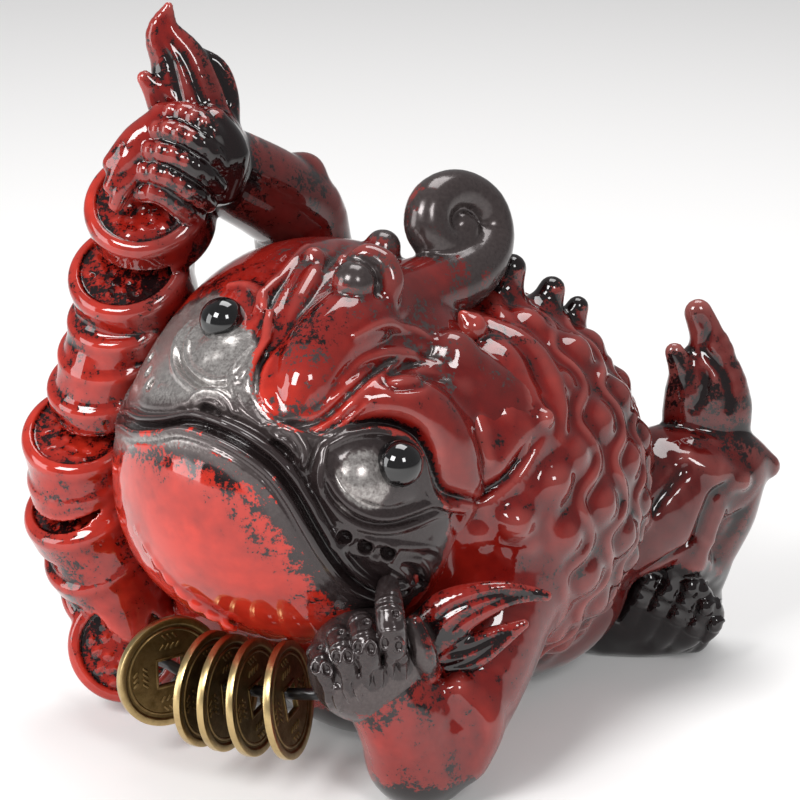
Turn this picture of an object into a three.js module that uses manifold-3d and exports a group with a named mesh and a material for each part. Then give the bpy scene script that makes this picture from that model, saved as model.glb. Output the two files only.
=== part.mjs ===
import * as THREE from "three";
import { mergeVertices } from "three/addons/utils/BufferGeometryUtils.js";
import Module from "manifold-3d";

const wasm = await Module();
wasm.setup();

// Driving sizes in millimetres. Z is up, X runs to the hind leg, and the display side faces -Y.
const figureHeight = 178; // ground to the tip of the flame on the raised wrist
const coinDiameter = 28;
const coinThickness = 1.8;
const coinRim = 1.9; // width of the raised rim of a brass coin
const coinField = 0.45; // how far the field lies below the rim
const coinHole = 6.4; // side of the square hole
const coinClearance = 0.35; // air between a brass coin and the clay
const cordDiameter = 2.8;
const cordClearance = 0.35; // air round the cord in the clay
const clayCoinHole = 5.2; // side of the square recess that the cord leaves

// The pose and the carving are written for a figure 186 high and follow figureHeight.
const unit = figureHeight / 186;

function at(x, y, z) {
  return new THREE.Vector3(x, y, z).multiplyScalar(unit);
}

// A closed solid from a three.js geometry.
function solid(geometry) {
  geometry.deleteAttribute("normal");
  geometry.deleteAttribute("uv");
  const merged = mergeVertices(geometry, 1e-4);
  const index = merged.index.array;
  const kept = [];
  for (let i = 0; i < index.length; i += 3) {
    const [a, b, c] = [index[i], index[i + 1], index[i + 2]];
    if (a !== b && b !== c && c !== a) kept.push(a, b, c);
  }
  return new wasm.Manifold(
    new wasm.Mesh({
      numProp: 3,
      vertProperties: merged.attributes.position.array,
      triVerts: new Uint32Array(kept),
    }),
  );
}

function joined(solids) {
  return solids.reduce((whole, next) => whole.add(next));
}

// Turns a geometry so that its y axis lies along the direction, with its x axis near the hint.
function turned(geometry, direction, hint = new THREE.Vector3(1, 0, 0.01)) {
  const y = direction.clone().normalize();
  const z = new THREE.Vector3().crossVectors(hint, y).normalize();
  const x = new THREE.Vector3().crossVectors(y, z);
  return geometry.applyMatrix4(new THREE.Matrix4().makeBasis(x, y, z));
}

// A ball drawn out to three radii: across (hint), along the direction, and square to both.
function ball(centre, radii, { direction = new THREE.Vector3(0, 0, 1), hint, sides = 10, rows = 8 } = {}) {
  const geometry = new THREE.SphereGeometry(unit, sides, rows);
  geometry.scale(...radii);
  turned(geometry, direction, hint);
  geometry.translate(centre.x, centre.y, centre.z);
  return solid(geometry);
}

function between(values, share) {
  const place = share * (values.length - 1);
  const first = Math.min(Math.floor(place), values.length - 2);
  return THREE.MathUtils.lerp(values[first], values[first + 1], place - first);
}

// A clay roll along a curve, thick as the radii say, rounded at both ends. Flat below 1 presses it
// thin along the normal.
function roll(points, radii, { sides = 8, rows = 8, flat = 1, normal = null, ends = 1 } = {}) {
  const path = new THREE.CatmullRomCurve3(points, false, "centripetal");
  const frames = path.computeFrenetFrames(rows);
  const geometry = new THREE.CapsuleGeometry(1, rows, ends, sides, rows);
  const position = geometry.attributes.position;
  for (let i = 0; i < position.count; i++) {
    const height = position.getY(i) + rows / 2;
    const row = THREE.MathUtils.clamp(Math.round(height), 0, rows);
    const beyond = height < 0 ? height : Math.max(height - rows, 0);
    const along = frames.tangents[row];
    const press = normal
      ? normal.clone().addScaledVector(along, -normal.dot(along)).normalize()
      : frames.normals[row];
    const across = new THREE.Vector3().crossVectors(press, along);
    const radius = between(radii, row / rows) * unit;
    const place = path
      .getPointAt(row / rows)
      .addScaledVector(along, beyond * radius)
      .addScaledVector(press, position.getX(i) * radius * flat)
      .addScaledVector(across, position.getZ(i) * radius);
    position.setXYZ(i, place.x, place.y, place.z);
  }
  return solid(geometry);
}

// Head: a ball lying on its left cheek, with its own directions.
const head = at(-25, -5, 73);
const headRadius = 47;
const nose = new THREE.Vector3(-0.283, -0.825, 0.488).normalize();
const leftward = new THREE.Vector3(0.733, -0.514, -0.444).normalize();
const crownward = new THREE.Vector3().crossVectors(nose, leftward).normalize();

function headDirection(longitude, latitude) {
  const [lon, lat] = [longitude, latitude].map(THREE.MathUtils.degToRad);
  return new THREE.Vector3()
    .addScaledVector(nose, Math.cos(lat) * Math.cos(lon))
    .addScaledVector(leftward, Math.cos(lat) * Math.sin(lon))
    .addScaledVector(crownward, Math.sin(lat));
}

function onHead([longitude, latitude, radius]) {
  return headDirection(longitude, latitude).multiplyScalar(radius * unit).add(head);
}

// The throat is pressed in above the hanging coins, by this much at most.
const throatPress = 4.2;
const throatPressed = new THREE.Vector3(-0.28, -0.5, -0.82).normalize();

// One skin round several balls: each ray from the centre ends on the last ball that it meets.
function skin(centre, pole, sides, rows, balls) {
  const geometry = turned(new THREE.SphereGeometry(1, sides, rows), pole);
  const position = geometry.attributes.position;
  for (let i = 0; i < position.count; i++) {
    const ray = new THREE.Vector3().fromBufferAttribute(position, i);
    const reaches = balls.map(([middle, radius]) => {
      const offset = middle.clone().sub(centre);
      const along = offset.dot(ray);
      return along + Math.sqrt(Math.max(along ** 2 - offset.lengthSq() + (radius * unit) ** 2, 0));
    });
    const press = throatPress * unit * Math.max(ray.dot(throatPressed), 0) ** 6;
    const place = ray.multiplyScalar(Math.max(...reaches) - press).add(centre);
    position.setXYZ(i, place.x, place.y, place.z);
  }
  return solid(geometry);
}

// The same features on both sides of the face: side is 1 for its left, -1 for its right.
function faceRoll(side, places, radii, options) {
  return roll(
    places.map(([longitude, latitude, radius]) => onHead([side * longitude, latitude, radius])),
    radii,
    options,
  );
}

const toad = [];

// Trunk with its warty back: a ball whose facets rise and sink in turn, smooth towards the belly.
const trunk = at(12.5, 22, 60.5);
const trunkReach = [53, 53.5, 53];
const wartRise = 0.09; // of the trunk's reach
const wartColumns = 26;
const wartRows = 16;
function wartyTrunk() {
  const geometry = new THREE.SphereGeometry(unit, wartColumns, wartRows);
  const position = geometry.attributes.position;
  for (let row = 0; row <= wartRows; row++) {
    for (let column = 0; column <= wartColumns; column++) {
      const i = row * (wartColumns + 1) + column;
      const raised = row > 1 && row < 11 && row % 2 === 0 && (column + row / 2) % 2 === 0;
      const share = raised ? 1 + wartRise * Math.min(1, (12 - row) / 3) : 1;
      position.setXYZ(i, share * position.getX(i), share * position.getY(i), share * position.getZ(i));
    }
  }
  geometry.scale(...trunkReach);
  turned(geometry, new THREE.Vector3(0, 0, 1));
  geometry.translate(trunk.x, trunk.y, trunk.z);
  return solid(geometry);
}
toad.push(wartyTrunk());

// Belly, then the head in one skin: ball, crown, snout, and on each side the eye mound and the brow.
toad.push(ball(at(-6, 6, 33), [35, 35.5, 32], { sides: 15, rows: 7 }));
toad.push(ball(at(22, 33, 29), [40, 30, 30], { sides: 14, rows: 7 }));
toad.push(
  skin(head, nose, 26, 17, [
    [head, headRadius],
    [at(-20, 3, 87), 43],
    [onHead([0, 3, 15]), 36.5],
    [onHead([40, 18, 37]), 13.4],
    [onHead([-40, 18, 37]), 13.4],
    [onHead([54, 46, 34]), 18],
    [onHead([-54, 46, 34]), 18],
  ]),
);

// Face.
for (const side of [1, -1]) {
  // Eye: the dark ball, with the lower lid and the brow round it.
  toad.push(ball(onHead([side * 39, 22, 49.5]), [5.4, 5.4, 5.4], { sides: 8, rows: 6 }));
  toad.push(
    faceRoll(
      side,
      [
        [21, 14, 47.5],
        [29, 8, 48.5],
        [40, 6.5, 49],
        [51, 11, 48.5],
        [61, 21, 47],
      ],
      [1.6, 2.2, 2.4, 2.2, 1.4],
      { sides: 5, rows: 6 },
    ),
  );
  toad.push(
    faceRoll(
      side,
      [
        [11, 17, 46],
        [18, 27, 47],
        [29, 36, 46.5],
        [44, 39, 46],
        [59, 36, 45],
        [74, 32, 43.5],
      ],
      [4.5, 6, 7.5, 8, 8, 6],
      { sides: 8, rows: 7 },
    ),
  );
  // Nostril: a raised swirl round a pit.
  toad.push(
    faceRoll(
      side,
      [
        [5, 4, 49.5],
        [6, 8, 50],
        [11, 10, 50],
        [16, 8, 49.5],
        [18, 4, 49],
        [14, 2, 49],
      ],
      [1.2, 1.8, 2.2, 2.2, 1.8, 1.2],
      { sides: 5, rows: 6 },
    ),
  );
}

// Lips: the upper one over the lower one, running back on both cheeks.
const upperLip = [
  [-56, -20, 46.5],
  [-44, -17, 47],
  [-34, -11, 47.5],
  [-22, -5, 49],
  [-11, -1, 50.5],
  [0, 1, 51],
  [11, 0, 50.5],
  [22, -2, 49.5],
  [34, -8, 48.5],
  [46, -10, 48],
  [59, -9, 47.5],
  [70, -4, 47],
  [76, 3, 46],
];
toad.push(roll(upperLip.map(onHead), [1.6, 2.4, 2.6, 2.8, 2.8, 2.8, 2.6, 2, 1.2], { sides: 5, rows: 16 }));
toad.push(
  roll(
    upperLip.map(([longitude, latitude, radius]) =>
      onHead([longitude * 0.98, latitude - 5.5, Math.min(radius - 0.8, 47.5)]),
    ),
    [1.4, 2.2, 2.4, 2.4, 2.2, 1.4],
    { sides: 5, rows: 14 },
  ),
);

// The forehead lobe between the brows runs back over the crown into the horn, which curls into a
// snail-like coil standing to the left of the crown.
const hornNormal = new THREE.Vector3(0.64, -0.748, 0.166).normalize();
const hornAcross = new THREE.Vector3(0.76, 0.6, -0.22).normalize();
const hornUp = new THREE.Vector3().crossVectors(hornNormal, hornAcross).normalize();
const coilCentre = at(13.4, 17.5, 129);
const coilTurns = 1.45;
const hornPath = [
  onHead([8, 17, 48.5]),
  onHead([4, 25, 47.5]),
  onHead([-1, 37, 47]),
  onHead([-2, 50, 49]),
  onHead([2, 66, 51]),
  at(0, 0, 112),
];
const coilSteps = 14;
for (let i = 0; i <= coilSteps; i++) {
  const share = i / coilSteps;
  const angle = THREE.MathUtils.degToRad(-105 + 360 * coilTurns * share);
  const reach = (1 + 12.4 * (1 - share) ** 0.75) * unit;
  hornPath.push(
    coilCentre
      .clone()
      .addScaledVector(hornAcross, reach * Math.cos(angle))
      .addScaledVector(hornUp, reach * Math.sin(angle))
      .addScaledVector(hornNormal, 4 * share ** 2 * unit),
  );
}
toad.push(
  roll(hornPath, [3, 7, 9.5, 10, 10, 9.4, 8.4, 7.4, 6.8, 6.2, 5.7, 5.1, 4.2, 3.2], { sides: 8, rows: 25 }),
);
toad.push(ball(onHead([-8, 53, 60]), [6.3, 6.3, 6.3], { sides: 8, rows: 6 }));
const headKnobs = [
  [-52, 66, 57, 4],
  [-38, 56, 56, 3],
  [70, 60, 50, 4],
  [52, 58, 51, 4.5],
  [88, 50, 47, 4.5],
];
for (const [longitude, latitude, radius, size] of headKnobs) {
  toad.push(ball(onHead([longitude, latitude, radius]), [size, size, size], { sides: 7, rows: 5 }));
}

// Knobs that stand up along the back line.
for (const [x, y, z, size] of [
  [28.5, 24, 119, 4.2],
  [39, 28, 112, 4],
  [46, 32, 106, 3.4],
]) {
  toad.push(ball(at(x, y, z), [size, size, size], { sides: 7, rows: 5 }));
}

// Raised right arm, from the back round to the fist above the string of coins.
toad.push(
  roll(
    [at(-18, 40, 100), at(-24.5, 43, 113), at(-26.5, 43.5, 125), at(-33, 36, 133), at(-41, 28, 140), at(-48, 21, 146)],
    [15, 13, 12.5, 12, 11.5, 10.5],
    { sides: 9, rows: 7 },
  ),
);
toad.push(ball(at(-25, 44, 137), [5.5, 5, 5], { sides: 7, rows: 5 }));
toad.push(ball(at(-50.5, 18, 149), [12.5, 13, 12], { sides: 10, rows: 7 }));
// Fingers of the right fist, each running from the knuckle over the top coin.
for (let i = 0; i < 4; i++) {
  const drop = i * 5.2;
  toad.push(
    roll(
      [
        at(-41.5 - i * 1.2, 14, 152 - drop),
        at(-49 - i * 0.6, 5.5 - i * 0.6, 156 - drop),
        at(-58, 4.5 - i * 0.4, 158 - drop),
        at(-65 + i * 0.3, 9 - i * 0.5, 157 - drop),
      ],
      [3, 3.2, 3.1, 2.4],
      { sides: 5, rows: 3 },
    ),
  );
}
toad.push(
  roll([at(-57, 13, 156), at(-66, 9, 153), at(-72, 6, 148)], [4.2, 3.6, 2.4], { sides: 6, rows: 4 }),
);

// Flame tufts: flat tongues that lean and curl.
const viewer = new THREE.Vector3(0, -1, 0.2);
function tongue(points, radii, rows = 5) {
  return roll(
    points.map((point) => at(...point)),
    radii,
    { sides: 6, rows, flat: 0.62, normal: viewer },
  );
}
const tongues = [
  // On the raised wrist.
  [
    [
      [-50, 21, 152],
      [-52.5, 22, 163],
      [-55, 23, 171],
      [-58.5, 23, 178],
      [-57, 23, 184.8],
    ],
    [9.5, 8.8, 7.6, 5, 1.2],
  ],
  [
    [
      [-54, 20, 154],
      [-58.5, 19, 161],
      [-61, 19, 165],
      [-63, 19, 167.6],
    ],
    [6, 5, 3.4, 2],
  ],
  [
    [
      [-46, 24, 152],
      [-45, 25.5, 162],
      [-46.5, 26, 168],
      [-52, 26, 173],
    ],
    [6, 5, 3.8, 1.8],
  ],
  // On the left forearm.
  [
    [
      [6, -39, 42],
      [13, -40, 50],
      [24, -40, 54.5],
      [31, -38, 54],
      [35.5, -37.5, 53.2],
    ],
    [7, 6.6, 4.8, 2.8, 1.3],
  ],
  [
    [
      [8, -38, 37],
      [17, -40, 39.5],
      [24, -39, 43],
      [30, -38, 46],
    ],
    [6, 5.2, 3.4, 1.3],
  ],
  [
    [
      [8, -38, 31],
      [17, -38, 31],
      [22, -37, 33.5],
      [26, -36.5, 37],
    ],
    [5, 4.4, 3, 1.3],
  ],
  // On the hind leg.
  [
    [
      [83, 46, 66],
      [86, 47, 76],
      [82.5, 47.5, 86],
      [79.5, 47.5, 94],
      [79.5, 47, 98.5],
    ],
    [8, 8, 5.6, 4.4, 3.2],
  ],
  [
    [
      [77, 46, 67],
      [76.5, 45, 77],
      [75, 44.5, 84.5],
      [72.3, 44.5, 87.5],
    ],
    [7, 6, 4, 2.2],
  ],
  [
    [
      [88, 49, 68],
      [91, 50, 77],
      [89, 50, 84],
      [87, 50, 89],
    ],
    [5.5, 4.8, 3, 1.4],
  ],
];
for (const [points, radii] of tongues) toad.push(tongue(points, radii));

// Left arm: the elbow on the ground and the fist under the cheek.
toad.push(
  roll([at(24, -14, 46), at(19, -26, 32), at(11, -36, 18), at(5, -40, 12.6)], [17, 15, 13.8, 13.4], {
    sides: 10,
    rows: 5,
  }),
);
toad.push(
  roll([at(5, -40, 12.6), at(1, -43.5, 24), at(-5, -45, 36)], [13.4, 12, 11], { sides: 9, rows: 3 }),
);
toad.push(ball(at(-7, -45, 38.5), [14, 13.5, 12.5], { sides: 10, rows: 7 }));
for (let i = 0; i < 4; i++) {
  const aside = i * 5.2;
  const sink = i * 2.4;
  toad.push(
    roll(
      [
        at(-0.5 - aside, -53, 38 - sink * 0.6),
        at(-1.5 - aside, -58.5 + i * 0.5, 46 - sink * 0.8),
        at(-2 - aside, -55.5 + i * 0.5, 53.5 - sink),
        at(-2.5 - aside, -49 + i * 0.5, 59 - sink * 1.4),
      ],
      [2.6, 3.3, 3.2, 2.6],
      { sides: 5, rows: 3 },
    ),
  );
}
toad.push(
  roll([at(5.5, -47, 41), at(4, -51.5, 48), at(0.5, -50, 56)], [3.4, 3.4, 2.4], { sides: 5, rows: 3 }),
);

// Hind leg with its spur, and the foot under it.
toad.push(roll([at(58, 36, 44), at(71, 40, 52), at(86, 45, 55)], [18, 16, 12], { sides: 9, rows: 3 }));
toad.push(
  roll([at(87.5, 45, 54), at(85.5, 47, 40), at(82, 48, 26), at(79, 48, 18)], [12, 11, 8.8, 9], {
    sides: 9,
    rows: 4,
  }),
);
toad.push(roll([at(90, 46, 56), at(97, 46.5, 55.5), at(100.5, 47, 54)], [6.5, 4.6, 2.4], { sides: 6, rows: 3 }));
toad.push(roll([at(44, 46, 8), at(62, 48, 13), at(77, 47, 13)], [9, 14, 12.6], { sides: 9, rows: 3 }));
for (let i = 0; i < 4; i++) {
  const aside = i * 6.2;
  toad.push(
    roll(
      [
        at(54 + aside * 1.1, 36.5 - i * 0.5, 7 - i * 0.3),
        at(61 + aside * 1.05, 35 - i * 0.3, 17 - i * 0.8),
        at(67 + aside, 37 - i * 0.4, 23 - i * 1.6),
        at(71 + aside * 0.8, 38 - i, 17 - i * 2),
      ],
      [3, 4.2, 4, 2.8],
      { sides: 5, rows: 5 },
    ),
  );
}

// The string of thick clay coins that the raised fist holds, cast in one with the toad.
const clayCoin = 31;
const clayCoinThickness = 8;
function clayDisc(centre, direction, size = clayCoin, thickness = clayCoinThickness) {
  const [radius, half, dish] = [size / 2, thickness / 2, 1.3].map((value) => value * unit);
  const profile = [
    [0, -half],
    [0.88 * radius, -half],
    [radius, -0.2 * half],
    [0.96 * radius, 0.6 * half],
    [0.83 * radius, half],
    [0.73 * radius, half - dish],
    [0, half - dish],
  ].map(([across, along]) => new THREE.Vector2(across, along));
  const geometry = new THREE.LatheGeometry(profile, 14);
  turned(geometry, direction);
  geometry.translate(centre.x, centre.y, centre.z);
  return solid(geometry);
}
const string = [
  [[-63, 17, 135], [-0.12, -0.66, 0.74], 32, 9],
  [[-68, 17, 117], [-0.14, -0.55, 0.82], 31.5, 9],
  [[-82, 15.5, 74], [-0.1, -0.45, 0.88], 31, 9],
  [[-82.5, 15, 55], [-0.3, -0.35, 0.88], 31.5, 9],
];
for (const [centre, direction, size, thickness] of string) {
  toad.push(clayDisc(at(...centre), new THREE.Vector3(...direction), size, thickness));
}
const lastCoin = at(-69, 9, 18.2);
const lastFacing = new THREE.Vector3(0.03, -0.97, 0.24).normalize();
toad.push(clayDisc(lastCoin, lastFacing, 30, 7));
// The coins in between show only their edges: two rolls, ribbed by them, tie the string together.
for (const [points, rows] of [
  [[at(-60, 24, 128), at(-67, 22, 112), at(-73, 17.5, 98), at(-77, 17, 84)], 10],
  [[at(-82, 16, 66), at(-81, 15.5, 54), at(-77.5, 15, 43), at(-72, 14.5, 31), at(-70, 14, 23)], 12],
]) {
  const ribbed = Array.from({ length: rows + 1 }, (_, i) => (i % 2 ? 15.2 : 13.2));
  if (rows < 12) ribbed.splice(0, 4, 8, 8.5, 10, 14);
  toad.push(roll(points, ribbed, { sides: 9, rows }));
}

// The cord, whole from the last clay coin to the fist.
const cordRoute = new THREE.CatmullRomCurve3([
  at(-68.8, 6, 19.6),
  at(-67.8, -2, 22),
  at(-64.6, -9.5, 24.2),
  at(-58.6, -16.2, 25),
  at(-52.6, -23.6, 25.2),
  at(-46.6, -29, 25.8),
  at(-40.4, -32.4, 26.2),
  at(-34.8, -35.4, 26.7),
  at(-26.8, -39.4, 28),
  at(-18.5, -42.4, 29.2),
  at(-11, -44.4, 29.8),
]);

function alongCord(diameter, sides, steps) {
  const round = new THREE.Shape();
  for (let i = 0; i < sides; i++) {
    const angle = (i / sides) * 2 * Math.PI;
    round[i ? "lineTo" : "moveTo"]((Math.cos(angle) * diameter) / 2, (Math.sin(angle) * diameter) / 2);
  }
  round.closePath();
  return solid(new THREE.ExtrudeGeometry(round, { steps, bevelEnabled: false, extrudePath: cordRoute }));
}

// Where each coin hangs: its share of the cord, and how it turns from square to the cord.
const coinDrop = (coinHole - cordDiameter) / 2 - 0.15;
const coinPlaces = [
  [0.32, [0.55, -0.84, 0.01]],
  [0.51, [0.87, -0.48, 0.04]],
  [0.583, [0.9, -0.42, 0.06]],
  [0.675, [0.92, -0.37, 0.12]],
  [0.79, [0.94, -0.3, 0.15]],
].map(([share, facing]) => {
  const centre = cordRoute.getPointAt(share);
  centre.z -= coinDrop;
  const direction = new THREE.Vector3(...facing).normalize();
  const hint = new THREE.Vector3().crossVectors(direction, new THREE.Vector3(0, 0, 1)).normalize();
  const z = new THREE.Vector3().crossVectors(hint, direction);
  return new THREE.Matrix4().makeBasis(hint, direction, z).setPosition(centre);
});

const material = (color, roughness, metalness) => new THREE.MeshStandardMaterial({ color, roughness, metalness });
const glaze = material(0xa52a24, 0.12, 0);
const brass = material(0x8a7040, 0.38, 1);
const blackCord = material(0x141214, 0.3, 0);

const figure = new THREE.Group();
function addNode(name, made, surface) {
  const mesh = made.getMesh();
  const geometry = new THREE.BufferGeometry();
  geometry.setAttribute("position", new THREE.BufferAttribute(mesh.vertProperties, mesh.numProp));
  geometry.setIndex(new THREE.BufferAttribute(mesh.triVerts, 1));
  geometry.computeVertexNormals();
  const node = new THREE.Mesh(geometry, surface);
  node.name = name;
  figure.add(node);
}

// Everything below the ground is cut off level. The cord's way into the clay is cut out, and so is
// any clay that comes nearer to a brass coin than its clearance.
let casting = joined(toad);
const groundReach = 2.2 * figureHeight;
const ground = new THREE.BoxGeometry(groundReach, groundReach, figureHeight / 2);
ground.translate(0, 0, -figureHeight / 4);
casting = casting.subtract(solid(ground));
casting = casting.subtract(alongCord(cordDiameter + 2 * cordClearance, 8, 22));
const recess = turned(new THREE.BoxGeometry(clayCoinHole, 5 * unit, clayCoinHole), lastFacing);
const recessPlace = lastCoin.clone().addScaledVector(lastFacing, 3 * unit);
recess.translate(recessPlace.x, recessPlace.y, recessPlace.z + 2.6 * unit);
casting = casting.subtract(solid(recess));
const coinRoom = new THREE.CylinderGeometry(
  coinDiameter / 2 + coinClearance,
  coinDiameter / 2 + coinClearance,
  coinThickness + 2 * coinClearance,
  24,
);
for (const place of coinPlaces) {
  casting = casting.subtract(solid(coinRoom.clone()).transform(place.elements));
}
// Hollows closed in between the joined pieces are filled: the largest body is the outer skin.
const bodies = casting.decompose().sort((one, other) => other.volume() - one.volume());
addNode("toad", bodies[0], glaze);
addNode("coin_cord", alongCord(cordDiameter, 8, 16), blackCord);

// A brass coin: a lathed disc with raised rims and a square hole with a frame round it.
function brassCoin() {
  const [radius, half] = [coinDiameter / 2, coinThickness / 2];
  const field = half - coinField;
  const profile = [
    [0, -field],
    [radius - coinRim, -field],
    [radius - coinRim + 0.25, -half],
    [radius, -half],
    [radius, half],
    [radius - coinRim + 0.25, half],
    [radius - coinRim, field],
    [0, field],
  ].map(([across, along]) => new THREE.Vector2(across, along));
  const hole = new THREE.BoxGeometry(coinHole, 4 * half, coinHole);
  return solid(new THREE.LatheGeometry(profile, 18)).subtract(solid(hole));
}

coinPlaces.forEach((place, i) => {
  addNode(`brass_coin_${i + 1}`, brassCoin().transform(place.elements), brass);
});

export default figure;
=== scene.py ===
import math

import bpy
import numpy as np
import openvdb
from mathutils import Matrix, Vector


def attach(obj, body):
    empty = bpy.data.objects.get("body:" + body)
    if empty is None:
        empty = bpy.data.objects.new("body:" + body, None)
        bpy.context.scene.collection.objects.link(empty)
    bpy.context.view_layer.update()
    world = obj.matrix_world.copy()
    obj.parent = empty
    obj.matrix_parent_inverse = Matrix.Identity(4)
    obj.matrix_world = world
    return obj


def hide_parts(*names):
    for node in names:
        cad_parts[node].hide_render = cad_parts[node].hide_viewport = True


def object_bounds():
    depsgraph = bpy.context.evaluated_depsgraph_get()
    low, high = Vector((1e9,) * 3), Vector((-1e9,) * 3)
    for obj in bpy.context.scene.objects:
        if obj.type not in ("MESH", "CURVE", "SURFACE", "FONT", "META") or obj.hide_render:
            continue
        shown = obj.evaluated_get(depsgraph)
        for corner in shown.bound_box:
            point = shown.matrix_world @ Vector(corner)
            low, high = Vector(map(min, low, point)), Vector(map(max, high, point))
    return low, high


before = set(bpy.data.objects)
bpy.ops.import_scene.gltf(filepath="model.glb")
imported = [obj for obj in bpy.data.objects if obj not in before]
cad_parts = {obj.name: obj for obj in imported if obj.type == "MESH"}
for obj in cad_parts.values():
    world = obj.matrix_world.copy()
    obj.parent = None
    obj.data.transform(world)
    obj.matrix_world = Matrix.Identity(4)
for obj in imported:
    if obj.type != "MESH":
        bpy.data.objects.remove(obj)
cad_low, cad_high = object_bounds()

# Stage: a pale floor and a pale room, with soft lights from the upper left, the right, the left and
# overhead. The camera looks a little down on the figure, as a product photograph does.
# The figure is 186 units high, and every place below is given in those units.
FIGURE_UNITS = 186
unit = cad_high.z / FIGURE_UNITS


def linear(code):
    """An sRGB hex colour as linear light."""
    parts = [int(code[i : i + 2], 16) / 255 for i in (1, 3, 5)]
    return (*[c / 12.92 if c <= 0.04045 else ((c + 0.055) / 1.055) ** 2.4 for c in parts], 1.0)


def add_node(material, kind, inputs=None, **settings):
    """Adds a shader node, with its settings, and its sockets given as values or as links."""
    made = material.node_tree.nodes.new(kind)
    for name, value in settings.items():
        setattr(made, name, value)
    for name, value in (inputs or {}).items():
        if isinstance(value, bpy.types.NodeSocket):
            material.node_tree.links.new(value, made.inputs[name])
        else:
            made.inputs[name].default_value = value
    return made


def new_material(name):
    material = bpy.data.materials.new(name)
    material.use_nodes = True
    material.node_tree.nodes.clear()
    return material


def finish_material(material, sockets):
    """Gives the material its surface, with the values and links of the surface's sockets."""
    shader = add_node(material, "ShaderNodeBsdfPrincipled", sockets)
    output = add_node(material, "ShaderNodeOutputMaterial")
    material.node_tree.links.new(shader.outputs[0], output.inputs["Surface"])
    return material


CAMERA_DISTANCE = 700
LOOK_AT_HEIGHT = 90
look_at = Vector((0, 0, LOOK_AT_HEIGHT)) * unit
elevation = math.radians(20)
camera_data = bpy.data.cameras.new("camera")
camera_data.lens, camera_data.sensor_width = 126, 36
camera = bpy.data.objects.new("camera", camera_data)
bpy.context.scene.collection.objects.link(camera)
camera.location = look_at + CAMERA_DISTANCE * unit * Vector((0, -math.cos(elevation), math.sin(elevation)))
camera.rotation_euler = (math.pi / 2 - elevation, 0, 0)
bpy.context.scene.camera = camera

bpy.ops.mesh.primitive_plane_add(size=6, location=(0, 0, 0))
floor = bpy.context.active_object
floor.name = "floor"
floor.data.name = "floor"
floor_paper = new_material("matt_white_paper")
paper_surface = {
    "Base Color": linear("#ECEBEA"),
    "Roughness": 0.9,
    "Specular IOR Level": 0.2,
    "Emission Color": linear("#FFFFFF"),
    "Emission Strength": 0.1,
}
floor.data.materials.append(finish_material(floor_paper, paper_surface))

room = bpy.data.worlds.new("pale_room")
room.use_nodes = True
sky = room.node_tree.nodes["Background"].inputs
sky["Color"].default_value, sky["Strength"].default_value = linear("#F2F2F4"), 0.3
bpy.context.scene.world = room
bpy.context.scene.view_settings.view_transform = "Standard"

for name, place, size, power in [
    ("key_light", (-0.6, -0.7, 0.85), (0.42, 0.42), 10),
    ("side_light", (0.4, -0.85, 0.75), (0.26, 0.34), 4),
    ("top_light", (0.1, 0.3, 1.0), (0.6, 0.5), 6),
    ("left_light", (-1.1, -0.35, 0.35), (0.5, 0.7), 5),
]:
    lamp = bpy.data.lights.new(name, "AREA")
    lamp.shape, lamp.size, lamp.size_y, lamp.energy = "RECTANGLE", *size, power
    light = bpy.data.objects.new(name, lamp)
    bpy.context.scene.collection.objects.link(light)
    light.location = place
    light.rotation_euler = (look_at - Vector(place)).to_track_quat("-Z", "Y").to_euler()


# Head: a ball of clay that leans on the left cheek, with crown, snout, brows, lids, lips and horn
# laid on as rolls and tooled while soft, cast in one with the body. It is made here as clay is
# worked: rolls and balls are joined with softened seams on a fine grid, and lines pressed in.
FAR = 9.0  # a distance that counts as far from the surface
RIM = 2.6  # how far round each shape its distance is worked out


def v(*values):
    return np.array(values, float)


def normalized(vector):
    return vector / np.linalg.norm(vector)


def curve(points, spacing=1.0):
    """Points a given spacing apart on a smooth curve through the given ones, and their shares."""
    points = np.array(points, float)
    if len(points) == 2:
        dense = np.linspace(points[0], points[1], 20)
    else:
        ends = np.vstack([2 * points[0] - points[1], points, 2 * points[-1] - points[-2]])
        dense = [points[:1]]
        for p0, p1, p2, p3 in zip(ends, ends[1:], ends[2:], ends[3:]):
            knots = np.cumsum([0, *(np.sqrt(np.linalg.norm(d)) + 1e-6 for d in (p1 - p0, p2 - p1, p3 - p2))])
            t = np.linspace(knots[1], knots[2], 13)[1:, None]
            a1 = ((knots[1] - t) * p0 + (t - knots[0]) * p1) / (knots[1] - knots[0])
            a2 = ((knots[2] - t) * p1 + (t - knots[1]) * p2) / (knots[2] - knots[1])
            a3 = ((knots[3] - t) * p2 + (t - knots[2]) * p3) / (knots[3] - knots[2])
            b1 = ((knots[2] - t) * a1 + (t - knots[0]) * a2) / (knots[2] - knots[0])
            b2 = ((knots[3] - t) * a2 + (t - knots[1]) * a3) / (knots[3] - knots[1])
            dense.append(((knots[2] - t) * b1 + (t - knots[1]) * b2) / (knots[2] - knots[1]))
        dense = np.vstack(dense)
    lengths = np.concatenate([[0], np.cumsum(np.linalg.norm(np.diff(dense, axis=0), axis=1))])
    shares = np.linspace(0, 1, max(3, int(lengths[-1] / spacing) + 1))
    placed = np.stack([np.interp(shares * lengths[-1], lengths, dense[:, i]) for i in range(3)], 1)
    return placed, shares


def spread(values, shares):
    """A list of values as a smooth run of them along a curve."""
    values = np.atleast_1d(np.array(values, float))
    return np.interp(shares, np.linspace(0, 1, len(values)), values) if len(values) > 1 else shares * 0 + values


def evened(values):
    """A run of values with its small steps taken out."""
    padded = np.pad(values, 2, "edge")
    return (padded[:-4] + 2 * padded[1:-3] + 3 * padded[2:-2] + 2 * padded[3:-1] + padded[4:]) / 9


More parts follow.
